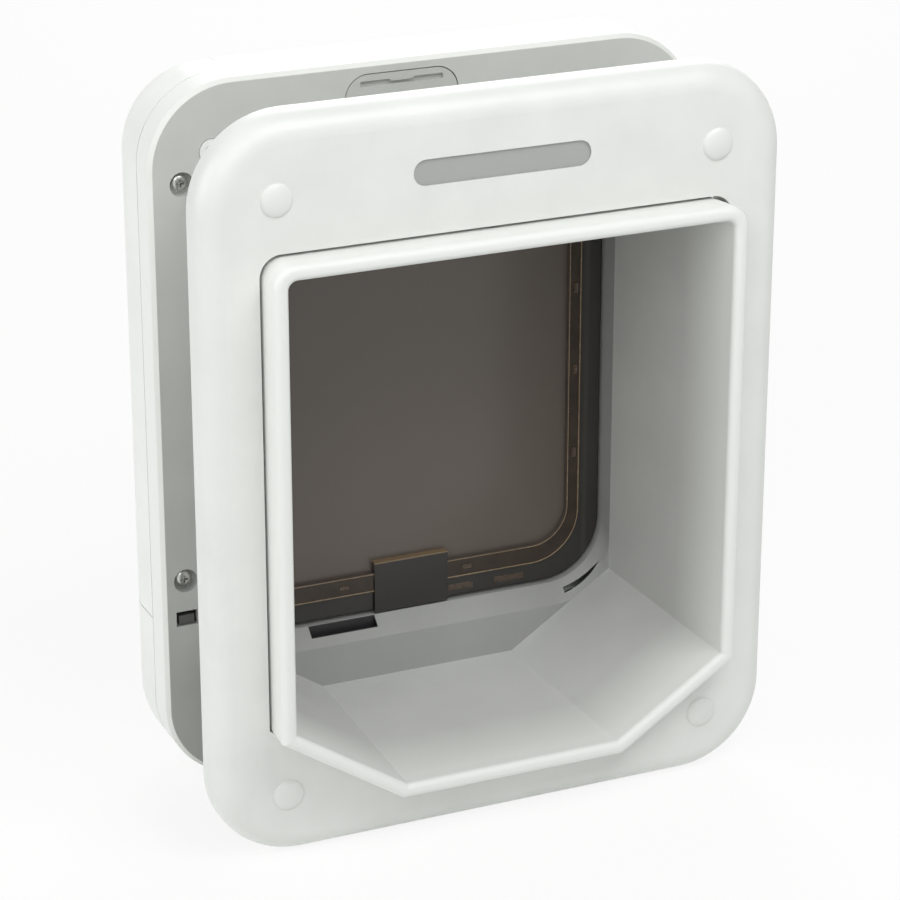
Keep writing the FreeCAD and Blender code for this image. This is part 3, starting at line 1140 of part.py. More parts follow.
def make_battery_tray():
    form = doc.addObject("PartDesign::Body", "tray_form")
    inset = f"({S.shell_wall} + 0.3)"
    blank = pad(form, "tray_blank", PARTING, f"({COVER_BACK} - {inset})",
                lambda sketch: unit_outline(sketch, inset))
    back = value(f"{COVER_BACK} - {inset}")
    round_edges(form, "tray_round", blank, f"({S.cover_round} - {inset})", lambda edge: in_plane(edge, back))
    half = f"({S.lid_width} / 2 - 0.3)"
    front = f"({LID_SPLIT} - {S.tray_wall} - 0.3)"
    reach = box("tray_reach", f"(-{half})", half, front, f"({COVER_BACK} + 1)",
                S.tray_floor, f"({UNIT_TOP} + 1)")
    shell = common("tray_shell", form, reach)
    cell_half = f"({S.cell_length} + {S.cell_space} / 2)"
    floor = f"({S.tray_floor} + {S.tray_wall})"
    space = f"({S.cell_radius} + 0.4)"
    cells = box("cell_space", f"(-{cell_half})", cell_half, f"({CELL_Y} - {space})", f"({CELL_Y} + {space})",
                floor, f"({UNIT_TOP} + 1)")
    mouth = box("tray_mouth", f"(-{half} + {S.tray_wall})", f"({half} - {S.tray_wall})",
                f"({front} + {S.tray_wall})", f"({COVER_BACK} + 1)",
                f"({S.lid_low} + 4)", f"({UNIT_TOP} + 1)")
    wells = [cells, mouth]
    for side in SIDES:
        inner = f"({side} * ({cell_half} + {S.tray_wall}))"
        outer = f"({side} * ({half} - {S.tray_wall}))"
        left, right = (outer, inner) if side < 0 else (inner, outer)
        wells.append(box("end_space", left, right, f"({front} + {S.tray_wall})",
                         f"({CELL_Y} + {space})", floor, f"({UNIT_TOP} + 1)"))
    node("battery_tray", cut("battery_tray", shell, fuse("tray_hollow", wells)))


def make_cells():
    """Two AA cells end to end in each of two decks, the upper pair turned round."""
    number = 0
    nub = "1.2"
    for side, height in DECKS:
        middle = f"({-side} * ({S.cell_space} / 2 - {PLATE}))"
        for spot in (0, 1):
            number += 1
            start = f"({middle} + {S.cell_length} * {spot - 1})"
            can_start = start if side < 0 else f"({start} + {nub})"
            cap_start = f"({start} + {S.cell_length} - {nub})" if side < 0 else start
            can = cylinder("cell_can", "X", S.cell_radius, f"({S.cell_length} - {nub})",
                           can_start, CELL_Y, height)
            cap = cylinder("cell_cap", "X", "2.7", nub, cap_start, CELL_Y, height)
            node(f"battery_cell_{number}", fuse(f"battery_cell_{number}", [can, cap]))


def coil_spring(coil_radius, wire, length):
    """Three turns of wire about the X axis, as short straight runs with mitred corners."""
    turns = 3
    runs = 14
    pitch = length / turns
    turn = FreeCAD.Units.Quantity("360 deg").getValueAs("rad").Value / runs
    about = Vector(1, 0, 0)
    spoke = Vector(0, 0, coil_radius)
    points = [Rotation(about, Radian=turn * i).multVec(spoke) + Vector(pitch * i / runs, 0, 0)
              for i in range(turns * runs + 1)]
    side = turn * runs / 6
    corners = [spoke + Rotation(Vector(0, 1, 0), Radian=side * i).multVec(Vector(0, 0, wire))
               for i in range(6)]
    sweep = Part.BRepOffsetAPI.MakePipeShell(Part.makePolygon(points))
    sweep.setTransitionMode(1)
    sweep.add(Part.makePolygon(corners + corners[:1]))
    sweep.build()
    sweep.makeSolid()
    return sweep.shape()


def make_contacts():
    """A coil spring at the flat end of each deck, and a plate at either end."""
    springs = []
    plates = []
    wire = 0.35
    end = f"({S.cell_length} + {S.cell_space} / 2)"
    for side, height in DECKS:
        reach = value(f"{S.cell_space} - 2 * {PLATE}")
        coil = coil_spring(3.4, wire, reach - 2 * wire)
        plate_face = value(f"{end} - {PLATE}")
        start = -plate_face if side < 0 else plate_face - reach
        coil.translate(Vector(start + wire, value(CELL_Y), value(height)))
        spring = doc.addObject("Part::Feature", "contact_spring")
        spring.Shape = coil
        springs.append(spring)
        plate = (f"({CELL_Y} - 5)", f"({CELL_Y} + 5)", f"({height} - 5)", f"({height} + 5)")
        plates.append(box("contact_plate", f"(-{end})", f"(-{end} + {PLATE})", *plate))
        plates.append(box("contact_plate", f"({end} - {PLATE})", end, *plate))
    group("contact_springs", springs)
    group("contact_plates", plates)


def pan_screw(x, z, seat, outdoors, head, head_high, shank, length, recess):
    """A screw along Y, its head's underside at seat and its cross recess in the head."""
    way = -1 if outdoors else 1
    head_start = f"({seat} - {head_high})" if outdoors else seat
    shank_start = seat if outdoors else f"({seat} - {length})"
    crown = cylinder("screw_head", "Y", head, head_high, x, head_start, z)
    stem = cylinder("screw_shank", "Y", shank, length, x, shank_start, z)
    face = f"({seat} + {way} * {head_high})"
    low, high = (f"({face} - 1)", f"({face} + {recess})") if outdoors else (f"({face} - {recess})", f"({face} + 1)")
    arm = f"({head} * 0.62)"
    across = box("cross_arm", f"({x} - {arm})", f"({x} + {arm})", low, high, f"({z} - 0.45)", f"({z} + 0.45)")
    upright = box("cross_arm", f"({x} - 0.45)", f"({x} + 0.45)", low, high, f"({z} - {arm})", f"({z} + {arm})")
    return cut("screw", fuse("screw_blank", [crown, stem]), fuse("screw_cross", [across, upright]))


def screw_pairs(label, places, *form):
    """Screws at the places on the right and their mirror images on the left."""
    screws = []
    for x, z in places:
        screw = pan_screw(x, z, *form)
        screws += [screw, mirrored("screw_left", screw)]
    group(label, screws)


def make_screws():
    screw_pairs("case_screws", CASE_SCREWS, SCREW_RECESS, True, S.case_head, "2.4",
                S.case_shank, S.case_length, "1.2")
    fixings = [(S.fix_side, height) for height in FIX_HEIGHTS]
    length = f"({HEAD_SEAT} - {FRAME_BACK} + {S.fix_bite})"
    screw_pairs("fixing_screws", fixings, HEAD_SEAT, False, S.fix_head, "3",
                S.fix_shank, length, "1.6")
    flange = f"({PARTING} + {S.shell_wall})"
    screw_pairs("surround_screws", [(S.flange_screw, height) for height in SURROUND_SCREWS],
                flange, False, "2.5", "1.8", "1.2", "10", "1")
    screw_pairs("board_screws", [(S.post_side, S.post_height)], f"({PARTING} + {S.board_thick})",
                False, "2.5", "1.8", "1.2", "8", "1")
    screw_pairs("carrier_screws", [(S.carrier_screw, S.carrier_height)],
                f"({EXIT_FRONT} - {S.latch_gap})", False, "2.5", "1.8", "1.2", "10", "1")
    caps = []
    for side in SIDES:
        for height in FIX_HEIGHTS:
            caps.append(cylinder("screw_cap", "Y", f"({S.head_bore} - 0.1)", "2.2",
                                 f"({side} * {S.fix_side})", f"({TUBE_END} - 2.2)", height))
    group("screw_caps", caps)


make_outer_frame()
make_tunnel_liner()
make_base_plate()
make_wiring_hatch()
make_flap_surround()
make_flap_panel()
make_flap_seal()
make_hinge()
make_indoor_cover()
make_lower_cover()
make_battery_lid()
make_latch_carrier()
make_exit_latch()
make_lock_pinion()
make_lock_dial()
make_entry_latch()
make_solenoid()
make_antenna_coil()
make_control_board()
make_button()
make_battery_tray()
make_cells()
make_contacts()
make_screws()

os.makedirs("parts", exist_ok=True)
doc.recompute()
for item in doc.Objects:
    for bad in ("Invalid", "Error"):
        if bad in item.State:
            raise RuntimeError(f"{item.Name} is {bad}")
for item in NODES:
    if item.Shape.isNull() or not item.Shape.isValid():
        raise RuntimeError(f"{item.Label} has no valid shape")
    print(item.Label, len(item.Shape.Solids), round(item.Shape.Volume, 1))
    item.Shape.exportStep(f"parts/{item.Label}.step")
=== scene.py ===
import math

import bpy
from bpy.props import FloatProperty, FloatVectorProperty, IntProperty, PointerProperty
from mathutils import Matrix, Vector


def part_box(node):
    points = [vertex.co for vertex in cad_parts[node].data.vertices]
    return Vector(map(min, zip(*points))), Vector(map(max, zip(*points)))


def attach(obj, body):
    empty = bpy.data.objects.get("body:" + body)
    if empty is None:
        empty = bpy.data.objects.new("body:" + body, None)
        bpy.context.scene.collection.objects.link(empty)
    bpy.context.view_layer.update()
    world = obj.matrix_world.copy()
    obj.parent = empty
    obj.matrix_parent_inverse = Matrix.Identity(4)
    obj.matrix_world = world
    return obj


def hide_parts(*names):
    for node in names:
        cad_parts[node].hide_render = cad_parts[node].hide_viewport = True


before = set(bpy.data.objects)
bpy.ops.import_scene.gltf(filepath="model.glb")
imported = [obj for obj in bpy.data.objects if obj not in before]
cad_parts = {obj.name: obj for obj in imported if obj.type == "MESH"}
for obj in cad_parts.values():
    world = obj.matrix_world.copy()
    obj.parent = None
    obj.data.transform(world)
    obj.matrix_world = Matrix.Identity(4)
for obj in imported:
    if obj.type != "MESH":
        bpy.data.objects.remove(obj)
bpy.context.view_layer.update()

bl_info = {
    "name": "Cat Flap Finish",
    "version": (1, 0, 0),
    "blender": (4, 5, 0),
    "location": "View3D > Sidebar > Cat Flap",
    "description": "Finishes a door's cat flap and its housing, and sets up a studio for it",
    "category": "Object",
}

MM = 0.001
SIDES = (-1, 1)

# Boxes of the CAD parts that the pieces and masks are placed by.
FLAP_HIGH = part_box("flap_panel")[1]
SEAL_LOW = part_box("flap_seal")[0]
BASE_LOW, BASE_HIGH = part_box("base_plate")
CASE_LOW, CASE_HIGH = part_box("case_screws")
FIX_LOW, FIX_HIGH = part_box("fixing_screws")
CAP_LOW, CAP_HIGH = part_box("screw_caps")
EXIT_LOW, EXIT_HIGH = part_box("exit_latch")
FRAME_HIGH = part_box("outer_frame")[1]

# The frame's face, its blank recess and the tunnel's lip.
FRAME_FACE = -51.5 * MM
RECESS_DROP = 26.0 * MM
RECESS_HALF_LENGTH = 34.2 * MM
RECESS_HALF_HEIGHT = 5.0 * MM
# Painted shade inside the tunnel starts at the first depth and is full at the second.
LINER_PAINTED_SHADE_START = -58.0 * MM
LINER_PAINTED_SHADE_FULL = -28.0 * MM

# The base: its corners and the windows that the catch hooks show in.
BASE_CORNER = 32.0 * MM
WINDOW_SIDE = 99.4
WINDOW_HEIGHT = 71.9

# The flap: inner edge of its rib, the magnet block and the seal's stripe.
RIB_SIDE = 67.3 * MM
RIB_LOW = 67.0 * MM
RIB_CORNER = 15.0 * MM
RIB_FRONT = 32.8 * MM
RIB_TOP = 214.0 * MM
BLOCK_HALF = 15.5 * MM
BLOCK_TOP = 71.5 * MM
SEAL_STRIPE = 75.5 * MM
BLADE_WIDTH = 26.6 * MM

# The cells: middle of a cell from the middle of the part, and where its bare ends start.
CELL_MIDDLE = 25.4 * MM
CELL_SLEEVE = 23.6 * MM

# Screws and caps: places across and up, then their sizes.
CASE_PLACES = [(x * side, z) for x, z in ((96.1 * MM, 240.1 * MM), (99.5 * MM, 87.1 * MM))
               for side in SIDES]
CASE_HEAD_RADIUS = 3.25 * MM
CASE_HEAD_HEIGHT = 2.4 * MM
CASE_CORE = 1.05 * MM
CASE_THREAD = 0.28 * MM
FIX_PLACES = [(84.5 * MM * side, z) for z in (251.0 * MM, 25.4 * MM) for side in SIDES]
FIX_HEAD_RADIUS = 4.2 * MM
FIX_HEAD_HEIGHT = 3.0 * MM
FIX_CROWN = 0.9 * MM
FIX_CORE = 1.95 * MM
FIX_THREAD = 0.4 * MM
SHANK_SIDES = 24
SHANK_SINK = 0.1 * MM
CAP_RADIUS = 4.7 * MM
CAP_FLAT = 1.6 * MM


# Settings


def colour_property(name, description, default):
    return FloatVectorProperty(name=name, description=description, subtype="COLOR", size=3,
                               min=0.0, max=1.0, default=default)


def length_property(name, description, default):
    return FloatProperty(name=name, description=description, subtype="DISTANCE", unit="LENGTH",
                         min=0.0, default=default)


class CatFlapColours(bpy.types.PropertyGroup):
    """Colours of the mouldings and metal parts."""

    frame_white: colour_property("Frame", "Outdoor frame and tunnel", (0.79, 0.81, 0.78))
    cover_white: colour_property("Cover", "Indoor cover, lower cover and battery lid",
                                 (0.87, 0.89, 0.86))
    # Painted shade: a darker white for the inside of the tunnel and the surround, where little light
    # reaches.
    inner_white: colour_property("Surround", "Moulding that the flap closes against", (0.64, 0.65, 0.63))
    base_grey: colour_property("Base face", "Face of the housing towards the door", (0.53, 0.54, 0.515))
    flap_smoke: colour_property("Flap", "Smoked window of the flap", (0.137, 0.113, 0.096))
    rim_amber: colour_property("Rim", "Thick rim of the smoked window", (0.040, 0.027, 0.018))
    # Painted highlight: gold for the glints along the flap's rim and on the block's top edge.
    painted_glint_gold: colour_property("Bead", "Edges of the rim that pick up light", (0.27, 0.19, 0.11))
    seal_dark: colour_property("Seal", "Band round the flap", (0.027, 0.025, 0.022))
    steel: colour_property("Steel", "Screws, pins and contacts", (0.62, 0.62, 0.60))
    copper: colour_property("Copper", "Enamelled windings", (0.52, 0.20, 0.07))
    board: colour_property("Board", "Solder mask of the control board", (0.02, 0.13, 0.05))
    nylon: colour_property("Nylon", "Bushes, pinion and latch carrier", (0.68, 0.68, 0.63))
    black_nylon: colour_property("Latches", "Latch blades and the switch", (0.025, 0.025, 0.027))
    dial_grey: colour_property("Dial", "Lock dial", (0.30, 0.31, 0.30))
    cell_skin: colour_property("Cells", "Sleeves of the cells", (0.05, 0.05, 0.055))


class CatFlapDetails(bpy.types.PropertyGroup):
    """Sizes of the small pieces."""

    case_crown: length_property("Case head crown", "Rise of a case screw's domed head", 1.0 * MM)
    cross_arm: length_property("Cross arm", "Reach of a screw's cross recess", 1.9 * MM)
    cross_width: length_property("Cross width", "Width of a screw's cross recess", 0.8 * MM)
    case_pitch: length_property("Case thread pitch", "Thread pitch of the case screws", 1.2 * MM)
    fixing_pitch: length_property("Fixing thread pitch", "Thread pitch of the fixing screws", 1.8 * MM)
    # Painted highlight: width of a gold glint strip on the flap's rim.
    glint_strip_width: length_property("Bead width", "Width of a bead on the flap's rim", 0.45 * MM)
    clip_length: length_property("Clip length", "Length of a clip on the flap's rim", 4.0 * MM)
    cap_dimple: length_property("Cap dimple", "Depth of the dimple in a screw cap", 0.5 * MM)
    cap_edge: length_property("Cap edge", "Rounding of a screw cap's edge", 0.5 * MM)
    round_steps: IntProperty(name="Round steps", description="Segments of a rounded edge",
                             min=1, max=12, default=4)


class CatFlapStage(bpy.types.PropertyGroup):
    """Camera, lamps and floor."""

    camera_place: FloatVectorProperty(name="Camera", description="Where the camera stands",
                                      subtype="TRANSLATION", unit="LENGTH",
                                      default=(-0.4535, -1.0307, 0.5739))
    camera_turn: FloatVectorProperty(name="Camera turn", description="How the camera is turned",
                                     subtype="EULER", unit="ROTATION",
                                     default=(math.radians(68.4), 0.0, math.radians(-23.86)))
    focal_length: FloatProperty(name="Focal length", description="Focal length in millimetres",
                                min=10.0, default=129.0)
    key_power: FloatProperty(name="Key lamp", description="Power of the large lamp, upper left",
                             unit="POWER", min=0.0, default=6.5)
    top_power: FloatProperty(name="Top lamp", description="Power of the lamp overhead",
                             unit="POWER", min=0.0, default=4.5)
    back_power: FloatProperty(name="Back lamp", description="Power of the lamp indoors",
                              unit="POWER", min=0.0, default=10.0)
    side_power: FloatProperty(name="Side lamp", description="Power of the lamp level with the left side",
                              unit="POWER", min=0.0, default=9.0)
    ambient: FloatProperty(name="Ambient", description="Strength of the light from all round",
                           min=0.0, default=0.27)
    floor_colour: colour_property("Floor", "Colour of the floor", (0.93, 0.93, 0.92))


def colours():
    return bpy.context.scene.cat_flap_colours


def details():
    return bpy.context.scene.cat_flap_details


# Materials


class Nodes:
    """Builds the node tree of one material."""

    def __init__(self, name):
        self.material = bpy.data.materials.new(name)
        self.material.use_nodes = True
        self.tree = self.material.node_tree
        self.shader = self.tree.nodes["Principled BSDF"]
        self.output = self.tree.nodes["Material Output"]
        self.place = self.add("ShaderNodeTexCoord").outputs["Object"]

    def add(self, kind, **settings):
        node = self.tree.nodes.new(kind)
        for key, setting in settings.items():
            setattr(node, key, setting)
        return node

    def link(self, start, end):
        self.tree.links.new(start, end)

    def set(self, socket, number):
        self.shader.inputs[socket].default_value = number

    def paint(self, colour):
        self.link(colour, self.shader.inputs["Base Color"])

    def stretched(self, scale):
        """Object coordinates scaled along each axis."""
        mapping = self.add("ShaderNodeMapping")
        mapping.inputs["Scale"].default_value = scale
        self.link(self.place, mapping.inputs["Vector"])
        return mapping.outputs["Vector"]

    def noise(self, scale, detail=2.0, vector=None):
        node = self.add("ShaderNodeTexNoise")
        node.inputs["Scale"].default_value = scale
        node.inputs["Detail"].default_value = detail
        self.link(vector or self.place, node.inputs["Vector"])
        return node.outputs["Fac"]

    def fit(self, value, low, high, new_low, new_high):
        """Carries a value from one range to another and keeps it inside."""
        node = self.add("ShaderNodeMapRange")
        for socket, number in zip(("From Min", "From Max", "To Min", "To Max"),
                                  (low, high, new_low, new_high)):
            node.inputs[socket].default_value = number
        self.link(value, node.inputs["Value"])
        return node.outputs["Result"]

    def maths(self, operation, first, second=0.0):
        node = self.add("ShaderNodeMath", operation=operation)
        for socket, item in zip(node.inputs, (first, second)):
            if isinstance(item, (int, float)):
                socket.default_value = item
            else:
                self.link(item, socket)
        return node.outputs["Value"]

    def mix(self, factor, first, second):
        """Mixes two colours, each a triple or a socket."""
        node = self.add("ShaderNodeMix", data_type="RGBA")
        self.link(factor, node.inputs["Factor"])
        for socket, item in zip((node.inputs[6], node.inputs[7]), (first, second)):
            if hasattr(item, "is_linked"):
                self.link(item, socket)
            else:
                socket.default_value = (*item, 1.0)
        return node.outputs[2]

    def axes(self):
        node = self.add("ShaderNodeSeparateXYZ")
        self.link(self.place, node.inputs["Vector"])
        return node.outputs

    def inside(self, low, high, soft=0.00005):
        """One within a box given by two corners, nought outside of it."""
        result = None
        for part, start, end in zip(self.axes(), low, high):
            distance = self.maths("ABSOLUTE", self.maths("SUBTRACT", part, (start + end) / 2))
            half = (end - start) / 2
            within = self.fit(distance, half - soft, half + soft, 1.0, 0.0)
            result = within if result is None else self.maths("MULTIPLY", result, within)
        return result

    def bump(self, height, depth, strength=1.0):
        node = self.add("ShaderNodeBump")
        node.inputs["Distance"].default_value = depth
        node.inputs["Strength"].default_value = strength
        self.link(height, node.inputs["Height"])
        self.link(node.outputs["Normal"], self.shader.inputs["Normal"])


def shade(colour, factor):
    return tuple(min(1.0, part * factor) for part in colour)


def moulded(nodes, colour, roughness, grain=0.00004, mottle=0.03):
    """Moulded plastic: a fine spark texture, faint mottling and uneven gloss."""
    blotch = nodes.noise(38.0, 3.0)
    tone = nodes.fit(blotch, 0.3, 0.7, 0.0, 1.0)
    tint = nodes.mix(tone, shade(colour, 1.0 - mottle), shade(colour, 1.0 + mottle))
    nodes.link(nodes.fit(nodes.noise(420.0), 0.3, 0.7, roughness - 0.05, roughness + 0.05),
               nodes.shader.inputs["Roughness"])
    nodes.bump(nodes.noise(2600.0, 3.0), grain)
    return tint


def moulded_plastic(name, colour, roughness, grain=0.00004):
    nodes = Nodes(name)
    nodes.paint(moulded(nodes, colour, roughness, grain))
    nodes.set("IOR", 1.5)
    return nodes.material


def frame_plastic():
    """The outdoor frame: white, with the blank recess's floor painted darker as shade."""
    nodes = Nodes("frame_plastic")
    white = moulded(nodes, colours().frame_white, 0.38)
    middle = FRAME_HIGH.z - RECESS_DROP
    # Painted shade: the recess floor is half as bright as the frame, standing in for the shadow in the
    # recess.
    floor = nodes.inside((-RECESS_HALF_LENGTH, FRAME_FACE + 0.4 * MM, middle - RECESS_HALF_HEIGHT),
                         (RECESS_HALF_LENGTH, FRAME_FACE + 2.0 * MM, middle + RECESS_HALF_HEIGHT))
    nodes.paint(nodes.mix(floor, white, shade(colours().frame_white, 0.5)))
    nodes.set("IOR", 1.5)
    return nodes.material


def liner_plastic():
    """The tunnel: as white as the frame at its lip, then painted greyer further in as shade."""
    nodes = Nodes("liner_plastic")
    inner = moulded(nodes, colours().inner_white, 0.45)
    # Painted shade: the liner fades from the lip's white to the darker inner white going inwards.
    lip = nodes.fit(nodes.axes()["Y"], LINER_PAINTED_SHADE_START, LINER_PAINTED_SHADE_FULL, 1.0, 0.0)
    nodes.paint(nodes.mix(lip, inner, shade(colours().frame_white, 1.06)))
    nodes.set("IOR", 1.5)
    return nodes.material


def lower_cover_plastic():
    """The lower cover: white, with the catch hooks painted dark as shade where they show in the base's
    windows.
    """
    nodes = Nodes("lower_cover_plastic")
    white = moulded(nodes, colours().cover_white, 0.34)
    # Painted shade: the hooks are darkened where they sit deep in the windows.
    hooks = 0.0
    for side in SIDES:
        middle = Vector((side * WINDOW_SIDE, 0.0, WINDOW_HEIGHT)) * MM
        reach = Vector((4.6, 0.0, 4.4)) * MM
        hook = nodes.inside(middle - reach + Vector((0.0, 5.0, 0.0)) * MM,
                            middle + reach + Vector((0.0, 26.0, 0.0)) * MM)
        hooks = nodes.maths("MAXIMUM", hooks, hook)
    nodes.paint(nodes.mix(hooks, white, shade(colours().base_grey, 0.18)))
    nodes.set("IOR", 1.5)
    return nodes.material


def surround_plastic():
    """The moulding round the flap: painted grey as shade, with the exit latch's slot painted black as
    shade.
    """
    nodes = Nodes("surround_plastic")
    # Painted shade: the surround at six tenths of the inner white.
    pale = moulded(nodes, shade(colours().inner_white, 0.6), 0.5, 0.00007)
    blade_end = EXIT_LOW.x + BLADE_WIDTH
    # Painted shade: black where the exit latch's slot is deep.
    slot = nodes.inside((EXIT_LOW.x - 0.6 * MM, EXIT_LOW.y - 0.6 * MM, 0.0),
                        (blade_end + 0.6 * MM, EXIT_HIGH.y + 0.6 * MM, FLAP_HIGH.z))
    nodes.paint(nodes.mix(slot, pale, tuple(colours().black_nylon)))
    nodes.set("IOR", 1.5)
    return nodes.material


def base_with_painted_shade():
    """The base: a grey face towards the door, painted darker towards the bottom as shade, white sides
    and a pale bevel between them.
    """
    nodes = Nodes("base_face_and_sides")
    grey = moulded(nodes, colours().base_grey, 0.5, 0.00006)
    parts = nodes.axes()
    # Painted shade: the grey face darkens towards the bottom, as if lit from above.
    height = nodes.fit(parts["Z"], 0.0, 0.28, 0.84, 1.12)
    scaled = nodes.add("ShaderNodeVectorMath", operation="SCALE")
    nodes.link(grey, scaled.inputs[0])
    nodes.link(height, scaled.inputs["Scale"])
    half = (BASE_HIGH - BASE_LOW) / 2
    middle = (BASE_HIGH + BASE_LOW) / 2
    across = nodes.maths("MAXIMUM", nodes.maths("SUBTRACT", nodes.maths("ABSOLUTE", parts["X"]),
                                                half.x - BASE_CORNER), 0.0)
    risen = nodes.maths("ABSOLUTE", nodes.maths("SUBTRACT", parts["Z"], middle.z))
    up = nodes.maths("MAXIMUM", nodes.maths("SUBTRACT", risen, half.z - BASE_CORNER), 0.0)
    reach = nodes.maths("SQRT", nodes.maths("ADD", nodes.maths("MULTIPLY", across, across),
                                            nodes.maths("MULTIPLY", up, up)))
    on_side = nodes.fit(reach, BASE_CORNER - 2.4 * MM, BASE_CORNER - 2.2 * MM, 0.0, 1.0)
    behind = nodes.fit(parts["Y"], BASE_LOW.y + 1.5 * MM, BASE_LOW.y + 1.65 * MM, 0.0, 1.0)
    white = nodes.maths("MULTIPLY", on_side, behind)
    past_face = nodes.fit(parts["Y"], BASE_LOW.y + 0.1 * MM, BASE_LOW.y + 0.2 * MM, 0.0, 1.0)
    bevel = nodes.maths("MULTIPLY", on_side, past_face)
    edge = nodes.mix(bevel, scaled.outputs["Vector"], shade(colours().base_grey, 1.5))
    nodes.paint(nodes.mix(white, edge, tuple(colours().cover_white)))
    return nodes.material


def smoked_window():
    """The flap: a smoked window, a darker brown rim and a dark block whose top edge carries a painted
    highlight in gold.
    """
    nodes = Nodes("smoked_window")
    glass = moulded(nodes, colours().flap_smoke, 0.22, 0.000004, 0.015)
    parts = nodes.axes()
    side = nodes.fit(nodes.maths("ABSOLUTE", parts["X"]), RIB_SIDE - 0.1 * MM,
                     RIB_SIDE + 0.2 * MM, 0.0, 1.0)
    foot = nodes.fit(parts["Z"], RIB_LOW - 0.2 * MM, RIB_LOW + 0.1 * MM, 1.0, 0.0)
    corner_x = nodes.maths("MAXIMUM", nodes.maths("SUBTRACT", nodes.maths("ABSOLUTE", parts["X"]),
                                                  RIB_SIDE - RIB_CORNER), 0.0)
    corner_z = nodes.maths("MAXIMUM", nodes.maths("SUBTRACT", RIB_LOW + RIB_CORNER, parts["Z"]), 0.0)
    reach = nodes.maths("SQRT", nodes.maths("ADD", nodes.maths("MULTIPLY", corner_x, corner_x),
                                            nodes.maths("MULTIPLY", corner_z, corner_z)))
    bend = nodes.fit(reach, RIB_CORNER - 0.1 * MM, RIB_CORNER + 0.2 * MM, 0.0, 1.0)
    rim = nodes.maths("MAXIMUM", nodes.maths("MAXIMUM", side, foot), bend)
    cloud = nodes.noise(90.0, 3.0)
    brown = nodes.mix(nodes.fit(cloud, 0.35, 0.65, 0.0, 1.0),
                      shade(colours().rim_amber, 0.85), shade(colours().rim_amber, 1.25))
    block = nodes.inside((-BLOCK_HALF, 0.0, 0.0), (BLOCK_HALF, 1.0, BLOCK_TOP + 0.1 * MM))
    # Painted highlight: a gold line along the block's top edge.
    edge = nodes.inside((-BLOCK_HALF, 0.0, BLOCK_TOP - 0.5 * MM),
                        (BLOCK_HALF, 1.0, BLOCK_TOP + 0.1 * MM))
    framed = nodes.mix(rim, glass, brown)
    blocked = nodes.mix(block, framed, shade(colours().seal_dark, 1.15))
    nodes.paint(nodes.mix(edge, blocked, tuple(colours().painted_glint_gold)))
    nodes.set("IOR", 1.49)
    nodes.set("Transmission Weight", 0.12)
    return nodes.material


def dark_seal():
    """The band round the flap: near-black, with a faint paler stripe along its middle."""
    nodes = Nodes("seal_band")
    band = moulded(nodes, colours().seal_dark, 0.42, 0.00003, 0.08)
    parts = nodes.axes()
    off = nodes.maths("ABSOLUTE", nodes.maths("SUBTRACT", nodes.maths("ABSOLUTE", parts["X"]),
                                              SEAL_STRIPE))
    stripe = nodes.fit(off, 0.3 * MM, 1.6 * MM, 1.0, 0.0)
    nodes.paint(nodes.mix(stripe, band, shade(colours().seal_dark, 1.5)))
    return nodes.material


def bare_metal(name, colour, roughness, brush=(300.0, 3000.0, 300.0)):
    """Bright metal with a fine brushed grain and a few duller spots."""
    nodes = Nodes(name)
    nodes.set("Metallic", 1.0)
    grain = nodes.noise(1.0, 3.0, nodes.stretched(brush))
    dull = nodes.noise(160.0, 3.0)
    nodes.paint(nodes.mix(nodes.fit(dull, 0.35, 0.7, 0.0, 1.0), tuple(colour), shade(colour, 0.82)))
    nodes.link(nodes.fit(grain, 0.25, 0.75, roughness - 0.08, roughness + 0.1),
               nodes.shader.inputs["Roughness"])
    nodes.bump(grain, 0.00001)
    return nodes.material


def wound_wire(name, turn_height, axis):
    """Enamelled winding: rows of wire along one axis."""
    nodes = Nodes(name)
    nodes.set("Metallic", 0.75)
    wave = nodes.add("ShaderNodeTexWave", wave_type="BANDS", bands_direction=axis)
    wave.inputs["Scale"].default_value = 1.0 / turn_height / 20.0 * math.tau
    wave.inputs["Distortion"].default_value = 0.25
    nodes.link(nodes.place, wave.inputs["Vector"])
    rows = wave.outputs["Fac"]
    nodes.paint(nodes.mix(rows, shade(colours().copper, 0.45), shade(colours().copper, 1.15)))
    nodes.link(nodes.fit(rows, 0.0, 1.0, 0.5, 0.28), nodes.shader.inputs["Roughness"])
    nodes.bump(rows, 0.0002)
    return nodes.material


def printed_board():
    """Solder mask with copper tracks that show faintly through it."""
    nodes = Nodes("solder_mask")
    cells = nodes.add("ShaderNodeTexVoronoi", distance="CHEBYCHEV", feature="DISTANCE_TO_EDGE")
    cells.inputs["Scale"].default_value = 190.0
    nodes.link(nodes.place, cells.inputs["Vector"])
    track = nodes.fit(cells.outputs["Distance"], 0.03, 0.06, 1.0, 0.0)
    mask = nodes.mix(track, tuple(colours().board), shade(colours().board, 1.9))
    parts = nodes.axes()
    chip = nodes.fit(parts["Y"], 27.2 * MM, 27.3 * MM, 0.0, 1.0)
    nodes.paint(nodes.mix(chip, mask, (0.02, 0.02, 0.022)))
    nodes.link(nodes.fit(nodes.noise(300.0), 0.3, 0.7, 0.28, 0.42), nodes.shader.inputs["Roughness"])
    nodes.bump(track, 0.00004)
    return nodes.material


def clear_guide():
    """Clear acrylic of the status lens."""
    nodes = Nodes("clear_acrylic")
    cloud = nodes.noise(240.0, 3.0)
    nodes.paint(nodes.mix(cloud, (0.80, 0.84, 0.81), (0.94, 0.96, 0.94)))
    nodes.link(nodes.fit(cloud, 0.3, 0.7, 0.04, 0.12), nodes.shader.inputs["Roughness"])
    nodes.set("IOR", 1.49)
    nodes.set("Transmission Weight", 0.75)
    return nodes.material


